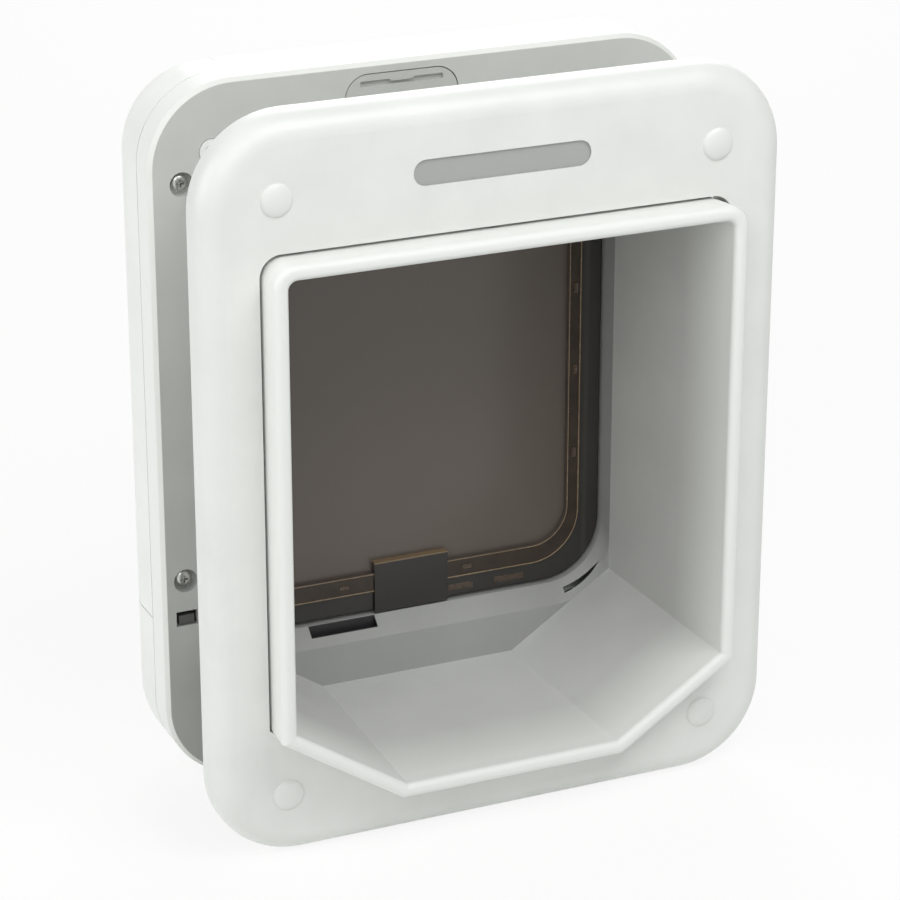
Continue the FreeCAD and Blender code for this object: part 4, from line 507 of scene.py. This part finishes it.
def cell_sleeve():
    """A cell: a dark sleeve with bare steel at both ends."""
    nodes = Nodes("cell_sleeve")
    parts = nodes.axes()
    sleeve = moulded(nodes, colours().cell_skin, 0.35, 0.00001, 0.1)
    offset = nodes.maths("ABSOLUTE", nodes.maths("SUBTRACT", nodes.maths("ABSOLUTE", parts["X"]),
                                                 CELL_MIDDLE))
    bare = nodes.fit(offset, CELL_SLEEVE, CELL_SLEEVE + 0.2 * MM, 0.0, 1.0)
    nodes.paint(nodes.mix(bare, sleeve, tuple(colours().steel)))
    nodes.link(bare, nodes.shader.inputs["Metallic"])
    return nodes.material


def finish_node(name, material):
    """Gives a CAD node the material."""
    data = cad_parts[name].data
    data.materials.clear()
    data.materials.append(material)


# Modelling helpers


def deselect():
    if bpy.context.object and bpy.context.object.mode != "OBJECT":
        bpy.ops.object.mode_set(mode="OBJECT")
    bpy.ops.object.select_all(action="DESELECT")


def pick(piece):
    """Makes a piece the only selected and active one."""
    deselect()
    piece.select_set(True)
    bpy.context.view_layer.objects.active = piece


def start_cylinder(name, radius, depth, centre, sides):
    """A cylinder along Y."""
    deselect()
    bpy.ops.mesh.primitive_cylinder_add(vertices=sides, radius=radius, depth=depth,
                                        location=centre, rotation=(math.radians(90), 0.0, 0.0))
    piece = bpy.context.object
    piece.name = name
    bpy.ops.object.transform_apply(location=True, rotation=True, scale=True)
    return piece


def start_cube(name, low, high):
    """A box between two corners."""
    deselect()
    low, high = Vector(low), Vector(high)
    bpy.ops.mesh.primitive_cube_add(size=1.0, location=(low + high) / 2)
    piece = bpy.context.object
    piece.name = name
    piece.scale = high - low
    bpy.ops.object.transform_apply(location=True, rotation=True, scale=True)
    return piece


def select_faces(piece, wanted):
    """Selects the faces that the test picks, and leaves the piece in edit mode."""
    pick(piece)
    bpy.ops.object.mode_set(mode="EDIT")
    bpy.ops.mesh.select_mode(type="FACE")
    bpy.ops.mesh.select_all(action="DESELECT")
    bpy.ops.object.mode_set(mode="OBJECT")
    for face in piece.data.polygons:
        face.select = wanted(face)
    bpy.ops.object.mode_set(mode="EDIT")


def select_points(piece, wanted):
    pick(piece)
    bpy.ops.object.mode_set(mode="EDIT")
    bpy.ops.mesh.select_mode(type="VERT")
    bpy.ops.mesh.select_all(action="DESELECT")
    bpy.ops.object.mode_set(mode="OBJECT")
    for point in piece.data.vertices:
        point.select = wanted(point.co)
    bpy.ops.object.mode_set(mode="EDIT")


def leave_edit():
    bpy.ops.object.mode_set(mode="OBJECT")


def subtract(piece, tool):
    """Cuts the tool out of the piece and removes the tool."""
    pick(piece)
    bpy.ops.object.modifier_add(type="BOOLEAN")
    cut = piece.modifiers[-1]
    cut.operation = "DIFFERENCE"
    cut.solver = "EXACT"
    cut.object = tool
    bpy.ops.object.modifier_apply(modifier=cut.name)
    bpy.data.objects.remove(tool)


def bevel_edges(piece, width, angle=50.0):
    """Rounds the sharp edges of a piece with a modifier."""
    pick(piece)
    bpy.ops.object.modifier_add(type="BEVEL")
    bevel = piece.modifiers[-1]
    bevel.width = width
    bevel.segments = details().round_steps
    bevel.limit_method = "ANGLE"
    bevel.angle_limit = math.radians(angle)
    bpy.ops.object.modifier_apply(modifier=bevel.name)


def move_piece(piece, offset):
    pick(piece)
    piece.location = offset
    bpy.ops.object.transform_apply(location=True, rotation=True, scale=True)


def copy_piece(piece, offset):
    """A copy with its own mesh, moved by an offset."""
    pick(piece)
    bpy.ops.object.duplicate()
    twin = bpy.context.object
    move_piece(twin, offset)
    return twin


def join_pieces(name, pieces):
    """Joins the pieces into the first and names the result."""
    deselect()
    for piece in pieces:
        piece.select_set(True)
    bpy.context.view_layer.objects.active = pieces[0]
    if len(pieces) > 1:
        bpy.ops.object.join()
    whole = bpy.context.object
    whole.name = name
    whole.data.name = name
    return whole


def repeat_piece(name, piece, places):
    """Copies a piece from the first place to the others and joins them all."""
    x, z = places[0]
    copies = [copy_piece(piece, (other - x, 0.0, high - z)) for other, high in places[1:]]
    return join_pieces(name, [piece, *copies])


def tidy_mesh(piece, sharp=35.0):
    """Merges doubles, points the faces outwards and shades the piece."""
    pick(piece)
    bpy.ops.object.mode_set(mode="EDIT")
    bpy.ops.mesh.select_all(action="SELECT")
    bpy.ops.mesh.remove_doubles(threshold=0.000002)
    bpy.ops.mesh.normals_make_consistent(inside=False)
    bpy.ops.object.mode_set(mode="OBJECT")
    bpy.ops.object.shade_smooth_by_angle(angle=math.radians(sharp))


def hand_over(piece, body, slot, material, *replaced):
    """Finishes a piece: its material, its body and the nodes that it stands for, which it hides; the
    slot is not used.
    """
    piece.data.materials.clear()
    piece.data.materials.append(material)
    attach(piece, body)
    if replaced:
        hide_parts(*replaced)


def screw_thread(core, rise, pitch, turns):
    """A closed ridge of triangular section, wound round the Y axis from the origin."""
    deselect()
    bpy.ops.mesh.primitive_circle_add(vertices=3, radius=1.0, fill_type="NOTHING", location=(0, 0, 0))
    ridge = bpy.context.object
    points = ridge.data.vertices
    for point, place in zip(points, ((core - 0.1 * MM, 0.0, 0.0), (core + rise, 0.0, pitch * 0.38),
                                     (core - 0.1 * MM, 0.0, pitch * 0.76))):
        point.co = place
    bpy.ops.object.modifier_add(type="SCREW")
    screw = ridge.modifiers[-1]
    screw.axis = "Z"
    screw.screw_offset = pitch
    screw.iterations = turns
    screw.steps = 20
    screw.render_steps = 20
    screw.use_merge_vertices = False
    bpy.ops.object.modifier_apply(modifier=screw.name)
    bpy.ops.object.mode_set(mode="EDIT")
    bpy.ops.mesh.select_all(action="SELECT")
    bpy.ops.mesh.fill_holes(sides=3)
    bpy.ops.mesh.select_all(action="SELECT")
    bpy.ops.mesh.normals_make_consistent(inside=False)
    bpy.ops.object.mode_set(mode="OBJECT")
    ridge.rotation_euler = (math.radians(-90), 0.0, 0.0)
    bpy.ops.object.transform_apply(location=True, rotation=True, scale=True)
    return ridge


def cross_cutter(centre, depth, way):
    """A cross-shaped tool with narrowing arms; way is -1 when the head faces outdoors."""
    arm, width = details().cross_arm, details().cross_width
    half = width / 2
    tool = start_cube("cross_tool", Vector(centre) - Vector((half, depth, half)),
                      Vector(centre) + Vector((half, depth, half)))
    select_faces(tool, lambda face: abs(face.normal.y) < 0.5)
    bpy.ops.mesh.extrude_faces_move(TRANSFORM_OT_shrink_fatten={"value": arm - half})
    leave_edit()
    bottom = centre[1] - way * depth
    select_faces(tool, lambda face: abs(face.center.y - bottom) < 0.0001)
    bpy.ops.transform.resize(value=(0.55, 1.0, 0.55), center_override=(centre[0], bottom, centre[2]))
    leave_edit()
    return tool


def pan_head(name, radius, height, crown, face_y, way, centre):
    """A pan head with a crown and a cross recess; it stands from face_y - way * height to face_y."""
    x, z = centre
    middle = (x, face_y - way * height / 2, z)
    head = start_cylinder(name, radius, height, middle, 48)
    select_faces(head, lambda face: face.normal.y * way > 0.9)
    bpy.ops.transform.translate(value=(0.0, -way * crown, 0.0))
    for inset, rise in ((0.16, 0.42), (0.2, 0.3), (0.24, 0.18), (0.2, 0.1)):
        bpy.ops.mesh.inset(thickness=radius * inset, depth=0.0)
        bpy.ops.transform.translate(value=(0.0, way * crown * rise, 0.0))
    leave_edit()
    tool = cross_cutter((x, face_y, z), height * 0.5, way)
    subtract(head, tool)
    return head


def outline_ring(name, half, low, high, corner, width, front, back):
    """A thin closed ring of an outline with round lower corners, lying across the flap."""
    deselect()
    bpy.ops.mesh.primitive_plane_add(size=1.0, location=(0, 0, 0), rotation=(math.radians(90), 0, 0))
    ring = bpy.context.object
    ring.name = name
    ring.scale = (2 * half, high - low, 1.0)
    ring.location = (0.0, front, (low + high) / 2)
    bpy.ops.object.transform_apply(location=True, rotation=True, scale=True)
    middle = (low + high) / 2
    select_points(ring, lambda point: point.z < middle)
    bpy.ops.mesh.bevel(offset=corner, offset_type="OFFSET", segments=16, affect="VERTICES")
    leave_edit()
    select_faces(ring, lambda face: True)
    bpy.ops.mesh.inset(thickness=width, depth=0.0)
    bpy.ops.mesh.delete(type="FACE")
    leave_edit()
    select_faces(ring, lambda face: True)
    bpy.ops.mesh.extrude_region_move(TRANSFORM_OT_translate={"value": (0.0, back - front, 0.0)})
    bpy.ops.mesh.select_all(action="SELECT")
    bpy.ops.mesh.normals_make_consistent(inside=False)
    leave_edit()
    return ring


# Operators


class CATFLAP_OT_mouldings(bpy.types.Operator):
    """Finish the frame, tunnel, housing and covers"""

    bl_idname = "catflap.mouldings"
    bl_label = "Mouldings"

    def execute(self, context):
        colour = colours()
        cover_white = moulded_plastic("cover_plastic", colour.cover_white, 0.34)
        grey = moulded_plastic("hatch_plastic", colour.base_grey, 0.5, 0.00006)
        finish_node("outer_frame", frame_plastic())
        finish_node("tunnel_liner", liner_plastic())
        for name in ("indoor_cover", "battery_lid", "learn_button"):
            finish_node(name, cover_white)
        finish_node("lower_cover", lower_cover_plastic())
        finish_node("flap_surround", surround_plastic())
        finish_node("base_plate", base_with_painted_shade())
        for name in ("wiring_hatch", "battery_tray"):
            finish_node(name, grey)
        return {"FINISHED"}


class CATFLAP_OT_flap(bpy.types.Operator):
    """Finish the smoked flap and its seal"""

    bl_idname = "catflap.flap"
    bl_label = "Flap"

    def execute(self, context):
        finish_node("flap_panel", smoked_window())
        finish_node("flap_seal", dark_seal())
        return {"FINISHED"}


class CATFLAP_OT_metalwork(bpy.types.Operator):
    """Finish the pins, springs, magnets and windings"""

    bl_idname = "catflap.metalwork"
    bl_label = "Metalwork"

    def execute(self, context):
        colour = colours()
        steel = bare_metal("bright_steel", colour.steel, 0.26)
        plated = bare_metal("plated_magnet", (0.40, 0.40, 0.41), 0.32, (500.0, 500.0, 500.0))
        for name in ("hinge_pins", "contact_springs", "contact_plates", "surround_screws",
                     "board_screws", "carrier_screws", "latch_plunger", "solenoid_yoke"):
            finish_node(name, steel)
        for name in ("flap_magnet", "sill_magnet"):
            finish_node(name, plated)
        finish_node("solenoid_coil", wound_wire("solenoid_winding", 0.5 * MM, "Z"))
        finish_node("antenna_coil", wound_wire("antenna_winding", 0.6 * MM, "Y"))
        return {"FINISHED"}


class CATFLAP_OT_works(bpy.types.Operator):
    """Finish the latches, lock, board, lens and cells"""

    bl_idname = "catflap.works"
    bl_label = "Works"

    def execute(self, context):
        colour = colours()
        nylon = moulded_plastic("natural_nylon", colour.nylon, 0.45, 0.00003)
        black = moulded_plastic("black_nylon", colour.black_nylon, 0.4, 0.00003)
        for name in ("hinge_bushes", "lock_pinion", "latch_carrier"):
            finish_node(name, nylon)
        for name in ("exit_latch", "entry_latch", "learn_switch"):
            finish_node(name, black)
        finish_node("lock_dial", moulded_plastic("dial_plastic", colour.dial_grey, 0.4, 0.00005))
        finish_node("control_board", printed_board())
        finish_node("status_lens", clear_guide())
        sleeve = cell_sleeve()
        for number in range(1, 5):
            finish_node(f"battery_cell_{number}", sleeve)
        return {"FINISHED"}


class CATFLAP_OT_case_screws(bpy.types.Operator):
    """Make the four pan-head screws that hold the base to the cover"""

    bl_idname = "catflap.case_screws"
    bl_label = "Case screws"

    def execute(self, context):
        x, z = CASE_PLACES[0]
        seat = CASE_LOW.y + CASE_HEAD_HEIGHT
        head = pan_head("case_head", CASE_HEAD_RADIUS, CASE_HEAD_HEIGHT, details().case_crown,
                        CASE_LOW.y, -1, (x, z))
        length = CASE_HIGH.y - seat
        shank = start_cylinder("case_shank", CASE_CORE, length,
                               (x, seat + length / 2 - SHANK_SINK, z), SHANK_SIDES)
        turns = int((length - 1.5 * MM) / details().case_pitch)
        thread = screw_thread(CASE_CORE, CASE_THREAD, details().case_pitch, turns - 1)
        move_piece(thread, (x, seat + 0.8 * MM, z))
        screw = join_pieces("case_screw", [head, shank, thread])
        tidy_mesh(screw)
        whole = repeat_piece("case_screw_set", screw, CASE_PLACES)
        hand_over(whole, "housing", "bright_steel",
                  bare_metal("case_screw_steel", colours().steel, 0.24), "case_screws")
        return {"FINISHED"}


class CATFLAP_OT_fixing_screws(bpy.types.Operator):
    """Make the four long screws through the door, with their threads"""

    bl_idname = "catflap.fixing_screws"
    bl_label = "Fixing screws"

    def execute(self, context):
        x, z = FIX_PLACES[0]
        head = pan_head("fixing_head", FIX_HEAD_RADIUS, FIX_HEAD_HEIGHT, FIX_CROWN,
                        FIX_HIGH.y, 1, (x, z))
        seat = FIX_HIGH.y - FIX_HEAD_HEIGHT
        length = seat - FIX_LOW.y
        shank = start_cylinder("fixing_shank", FIX_CORE, length,
                               (x, seat - length / 2 + SHANK_SINK, z), SHANK_SIDES)
        pitch = details().fixing_pitch
        turns = int((length - 6.0 * MM) / pitch)
        thread = screw_thread(FIX_CORE, FIX_THREAD, pitch, turns)
        move_piece(thread, (x, FIX_LOW.y + 1.5 * MM, z))
        screw = join_pieces("fixing_screw", [head, shank, thread])
        tidy_mesh(screw)
        whole = repeat_piece("fixing_screw_set", screw, FIX_PLACES)
        hand_over(whole, "housing", "bright_steel",
                  bare_metal("fixing_screw_steel", colours().steel, 0.28), "fixing_screws")
        return {"FINISHED"}


class CATFLAP_OT_screw_caps(bpy.types.Operator):
    """Make the dimpled caps that close the screw bores indoors"""

    bl_idname = "catflap.screw_caps"
    bl_label = "Screw caps"

    def execute(self, context):
        x, z = FIX_PLACES[0]
        depth = CAP_HIGH.y - CAP_LOW.y
        cap = start_cylinder("screw_cap", CAP_RADIUS, depth, (x, (CAP_HIGH.y + CAP_LOW.y) / 2, z), 48)
        select_faces(cap, lambda face: face.normal.y > 0.9)
        bpy.ops.mesh.bevel(offset=details().cap_edge, segments=4, affect="EDGES")
        leave_edit()
        select_faces(cap, lambda face: face.normal.y > 0.99 and len(face.vertices) > 12)
        bpy.ops.mesh.inset(thickness=CAP_FLAT, depth=0.0)
        for shrink in (0.8 * MM, 0.9 * MM):
            bpy.ops.mesh.inset(thickness=shrink, depth=0.0)
            bpy.ops.transform.translate(value=(0.0, -details().cap_dimple / 2, 0.0))
        leave_edit()
        tidy_mesh(cap)
        whole = repeat_piece("screw_cap_set", cap, FIX_PLACES)
        hand_over(whole, "housing", "cover_white",
                  moulded_plastic("cap_plastic", colours().cover_white, 0.4), "screw_caps")
        return {"FINISHED"}


class CATFLAP_OT_rim_glint_strips(bpy.types.Operator):
    """Make the gold strips along the flap's rim, which stand for painted highlights, and the clips along
    it
    """

    bl_idname = "catflap.rim_beads"
    bl_label = "Rim glints"

    def execute(self, context):
        width = details().glint_strip_width
        back = RIB_FRONT + 0.4 * MM
        # Painted highlight: thin gold rings on the rim stand in for the glints along its edges.
        outer = outline_ring("rim_glint_outer", 72.6 * MM, 59.3 * MM, RIB_TOP, 20.3 * MM, width,
                             RIB_FRONT - 0.25 * MM, back)
        inner = outline_ring("rim_glint_inner", 67.9 * MM, 66.4 * MM, RIB_TOP - 5.4 * MM, 15.6 * MM,
                             width * 0.8, RIB_FRONT - 0.15 * MM, back)
        whole = join_pieces("rim_beads", [outer, inner])
        bevel_edges(whole, 0.12 * MM)
        tidy_mesh(whole)
        nodes = Nodes("rim_glint_plastic")
        gold = moulded(nodes, colours().painted_glint_gold, 0.25, 0.00001, 0.15)
        nodes.paint(gold)
        nodes.set("Coat Weight", 0.3)
        hand_over(whole, "flap", "flap_smoke", nodes.material)
        clips = []
        length = details().clip_length
        spots = [(side * 70.1 * MM, z * MM, True) for side in SIDES for z in (172.6, 139.1, 104.2)]
        spots += [(x * MM, 63.2 * MM, False) for x in (-28.0, 24.0)]
        for x, z, upright in spots:
            half = (0.9 * MM, length / 2) if upright else (length / 2, 0.9 * MM)
            clip = start_cube("rim_clip", (x - half[0], RIB_FRONT - 0.35 * MM, z - half[1]),
                              (x + half[0], RIB_FRONT + 0.3 * MM, z + half[1]))
            select_faces(clip, lambda face: face.normal.y < -0.9)
            bpy.ops.mesh.inset(thickness=0.35 * MM, depth=0.0)
            bpy.ops.transform.translate(value=(0.0, 0.25 * MM, 0.0))
            leave_edit()
            clips.append(clip)
        row = join_pieces("rim_clips", clips)
        bevel_edges(row, 0.1 * MM)
        tidy_mesh(row)
        hand_over(row, "flap", "flap_smoke",
                  moulded_plastic("clip_plastic", shade(colours().rim_amber, 2.0), 0.3, 0.00001))
        return {"FINISHED"}


class CATFLAP_OT_seal_windows(bpy.types.Operator):
    """Make the two brown strips in the band under the flap"""

    bl_idname = "catflap.seal_windows"
    bl_label = "Seal strips"

    def execute(self, context):
        strips = []
        for low_x, high_x in ((16.4, 27.0), (36.3, 49.0)):
            strip = start_cube("seal_strip", (low_x * MM, SEAL_LOW.y - 0.15 * MM, 53.4 * MM),
                               (high_x * MM, SEAL_LOW.y + 0.5 * MM, 56.0 * MM))
            strips.append(strip)
        row = join_pieces("seal_strips", strips)
        bevel_edges(row, 0.12 * MM)
        tidy_mesh(row)
        hand_over(row, "flap", "seal_dark",
                  moulded_plastic("strip_plastic", shade(colours().rim_amber, 1.9), 0.3, 0.00001))
        return {"FINISHED"}


class CATFLAP_OT_stage(bpy.types.Operator):
    """Set up the floor, the lamps and the camera"""

    bl_idname = "catflap.stage"
    bl_label = "Studio"

    def execute(self, context):
        stage = context.scene.cat_flap_stage
        deselect()
        bpy.ops.mesh.primitive_plane_add(size=40.0, location=(0.0, 0.0, 0.0))
        floor = context.object
        floor.name = "studio_floor"
        floor.data.materials.append(self.floor_material(stage.floor_colour))
        self.lamp("key_lamp", stage.key_power, 0.9, (-0.75, -1.15, 1.15))
        self.lamp("top_lamp", stage.top_power, 0.5, (0.15, -0.55, 0.95))
        self.lamp("side_lamp", stage.side_power, 1.0, (-1.6, 0.1, 0.6))
        self.lamp("back_lamp", stage.back_power, 1.0, (0.6, 1.3, 1.0))
        deselect()
        bpy.ops.object.camera_add(location=stage.camera_place, rotation=stage.camera_turn)
        camera = context.object
        camera.name = "photo_camera"
        camera.data.lens = stage.focal_length
        camera.data.sensor_width = 36.0
        camera.data.clip_start = 0.05
        context.scene.camera = camera
        context.scene.view_settings.view_transform = "Standard"
        self.surroundings(stage.ambient)
        return {"FINISHED"}

    def lamp(self, name, power, size, place):
        """A square soft lamp that faces the middle of the flap."""
        deselect()
        way = Vector((0.0, 0.0, 0.14)) - Vector(place)
        bpy.ops.object.light_add(type="AREA", location=place,
                                 rotation=way.to_track_quat("-Z", "Y").to_euler())
        light = bpy.context.object
        light.name = name
        light.data.energy = power
        light.data.size = size

    def floor_material(self, colour):
        """A pale floor that keeps the shadow and reads as white to the camera."""
        nodes = Nodes("studio_floor")
        nodes.set("Roughness", 0.9)
        nodes.set("Specular IOR Level", 0.0)
        cloud = nodes.noise(2.0, 3.0)
        nodes.paint(nodes.mix(cloud, shade(colour, 0.99), tuple(colour)))
        white = nodes.add("ShaderNodeEmission")
        white.inputs["Strength"].default_value = 1.0
        blend = nodes.add("ShaderNodeMixShader")
        path = nodes.add("ShaderNodeLightPath")
        seen = nodes.maths("MAXIMUM", nodes.maths("MAXIMUM", path.outputs["Is Camera Ray"],
                                                  path.outputs["Is Glossy Ray"]),
                           path.outputs["Is Transmission Ray"])
        nodes.link(nodes.maths("MULTIPLY", seen, 0.86), blend.inputs["Fac"])
        nodes.link(nodes.shader.outputs["BSDF"], blend.inputs[1])
        nodes.link(white.outputs["Emission"], blend.inputs[2])
        nodes.link(blend.outputs["Shader"], nodes.output.inputs["Surface"])
        return nodes.material

    def surroundings(self, strength):
        """White to the camera and in reflections, soft light for the rest."""
        world = bpy.data.worlds.new("studio_world")
        bpy.context.scene.world = world
        world.use_nodes = True
        tree = world.node_tree
        tree.nodes.clear()
        path = tree.nodes.new("ShaderNodeLightPath")
        soft = tree.nodes.new("ShaderNodeBackground")
        soft.inputs["Strength"].default_value = strength
        white = tree.nodes.new("ShaderNodeBackground")
        for node in (soft, white):
            node.inputs["Color"].default_value = (1.0, 1.0, 1.0, 1.0)
        first = tree.nodes.new("ShaderNodeMath")
        second = tree.nodes.new("ShaderNodeMath")
        for node in (first, second):
            node.operation = "MAXIMUM"
        blend = tree.nodes.new("ShaderNodeMixShader")
        out = tree.nodes.new("ShaderNodeOutputWorld")
        tree.links.new(path.outputs["Is Camera Ray"], first.inputs[0])
        tree.links.new(path.outputs["Is Glossy Ray"], first.inputs[1])
        tree.links.new(first.outputs["Value"], second.inputs[0])
        tree.links.new(path.outputs["Is Transmission Ray"], second.inputs[1])
        tree.links.new(second.outputs["Value"], blend.inputs["Fac"])
        tree.links.new(soft.outputs["Background"], blend.inputs[1])
        tree.links.new(white.outputs["Background"], blend.inputs[2])
        tree.links.new(blend.outputs["Shader"], out.inputs["Surface"])


class CATFLAP_PT_tools(bpy.types.Panel):
    """Lists the steps that finish the cat flap"""

    bl_idname = "CATFLAP_PT_tools"
    bl_label = "Cat flap"
    bl_space_type = "VIEW_3D"
    bl_region_type = "UI"
    bl_category = "Cat Flap"

    def draw(self, context):
        layout = self.layout
        for step in STEPS:
            layout.operator(step.bl_idname)
        for group in ("cat_flap_colours", "cat_flap_details", "cat_flap_stage"):
            settings = getattr(context.scene, group)
            box = layout.box()
            for key in settings.bl_rna.properties.keys():
                if key not in ("rna_type", "name"):
                    box.prop(settings, key)


STEPS = (
    CATFLAP_OT_mouldings, CATFLAP_OT_flap, CATFLAP_OT_metalwork, CATFLAP_OT_works,
    CATFLAP_OT_case_screws, CATFLAP_OT_fixing_screws, CATFLAP_OT_screw_caps,
    CATFLAP_OT_rim_glint_strips, CATFLAP_OT_seal_windows, CATFLAP_OT_stage,
)
GROUPS = (
    ("cat_flap_colours", CatFlapColours),
    ("cat_flap_details", CatFlapDetails),
    ("cat_flap_stage", CatFlapStage),
)


def register():
    for _, group in GROUPS:
        bpy.utils.register_class(group)
    for name, group in GROUPS:
        setattr(bpy.types.Scene, name, PointerProperty(type=group))
    for step in (*STEPS, CATFLAP_PT_tools):
        bpy.utils.register_class(step)


def unregister():
    for step in reversed((*STEPS, CATFLAP_PT_tools)):
        bpy.utils.unregister_class(step)
    for name, group in reversed(GROUPS):
        delattr(bpy.types.Scene, name)
        bpy.utils.unregister_class(group)


def main():
    register()
    bpy.ops.catflap.mouldings()
    bpy.ops.catflap.flap()
    bpy.ops.catflap.metalwork()
    bpy.ops.catflap.works()
    bpy.ops.catflap.case_screws()
    bpy.ops.catflap.fixing_screws()
    bpy.ops.catflap.screw_caps()
    bpy.ops.catflap.rim_beads()
    bpy.ops.catflap.seal_windows()
    bpy.ops.catflap.stage()


if __name__ == "__main__":
    main()
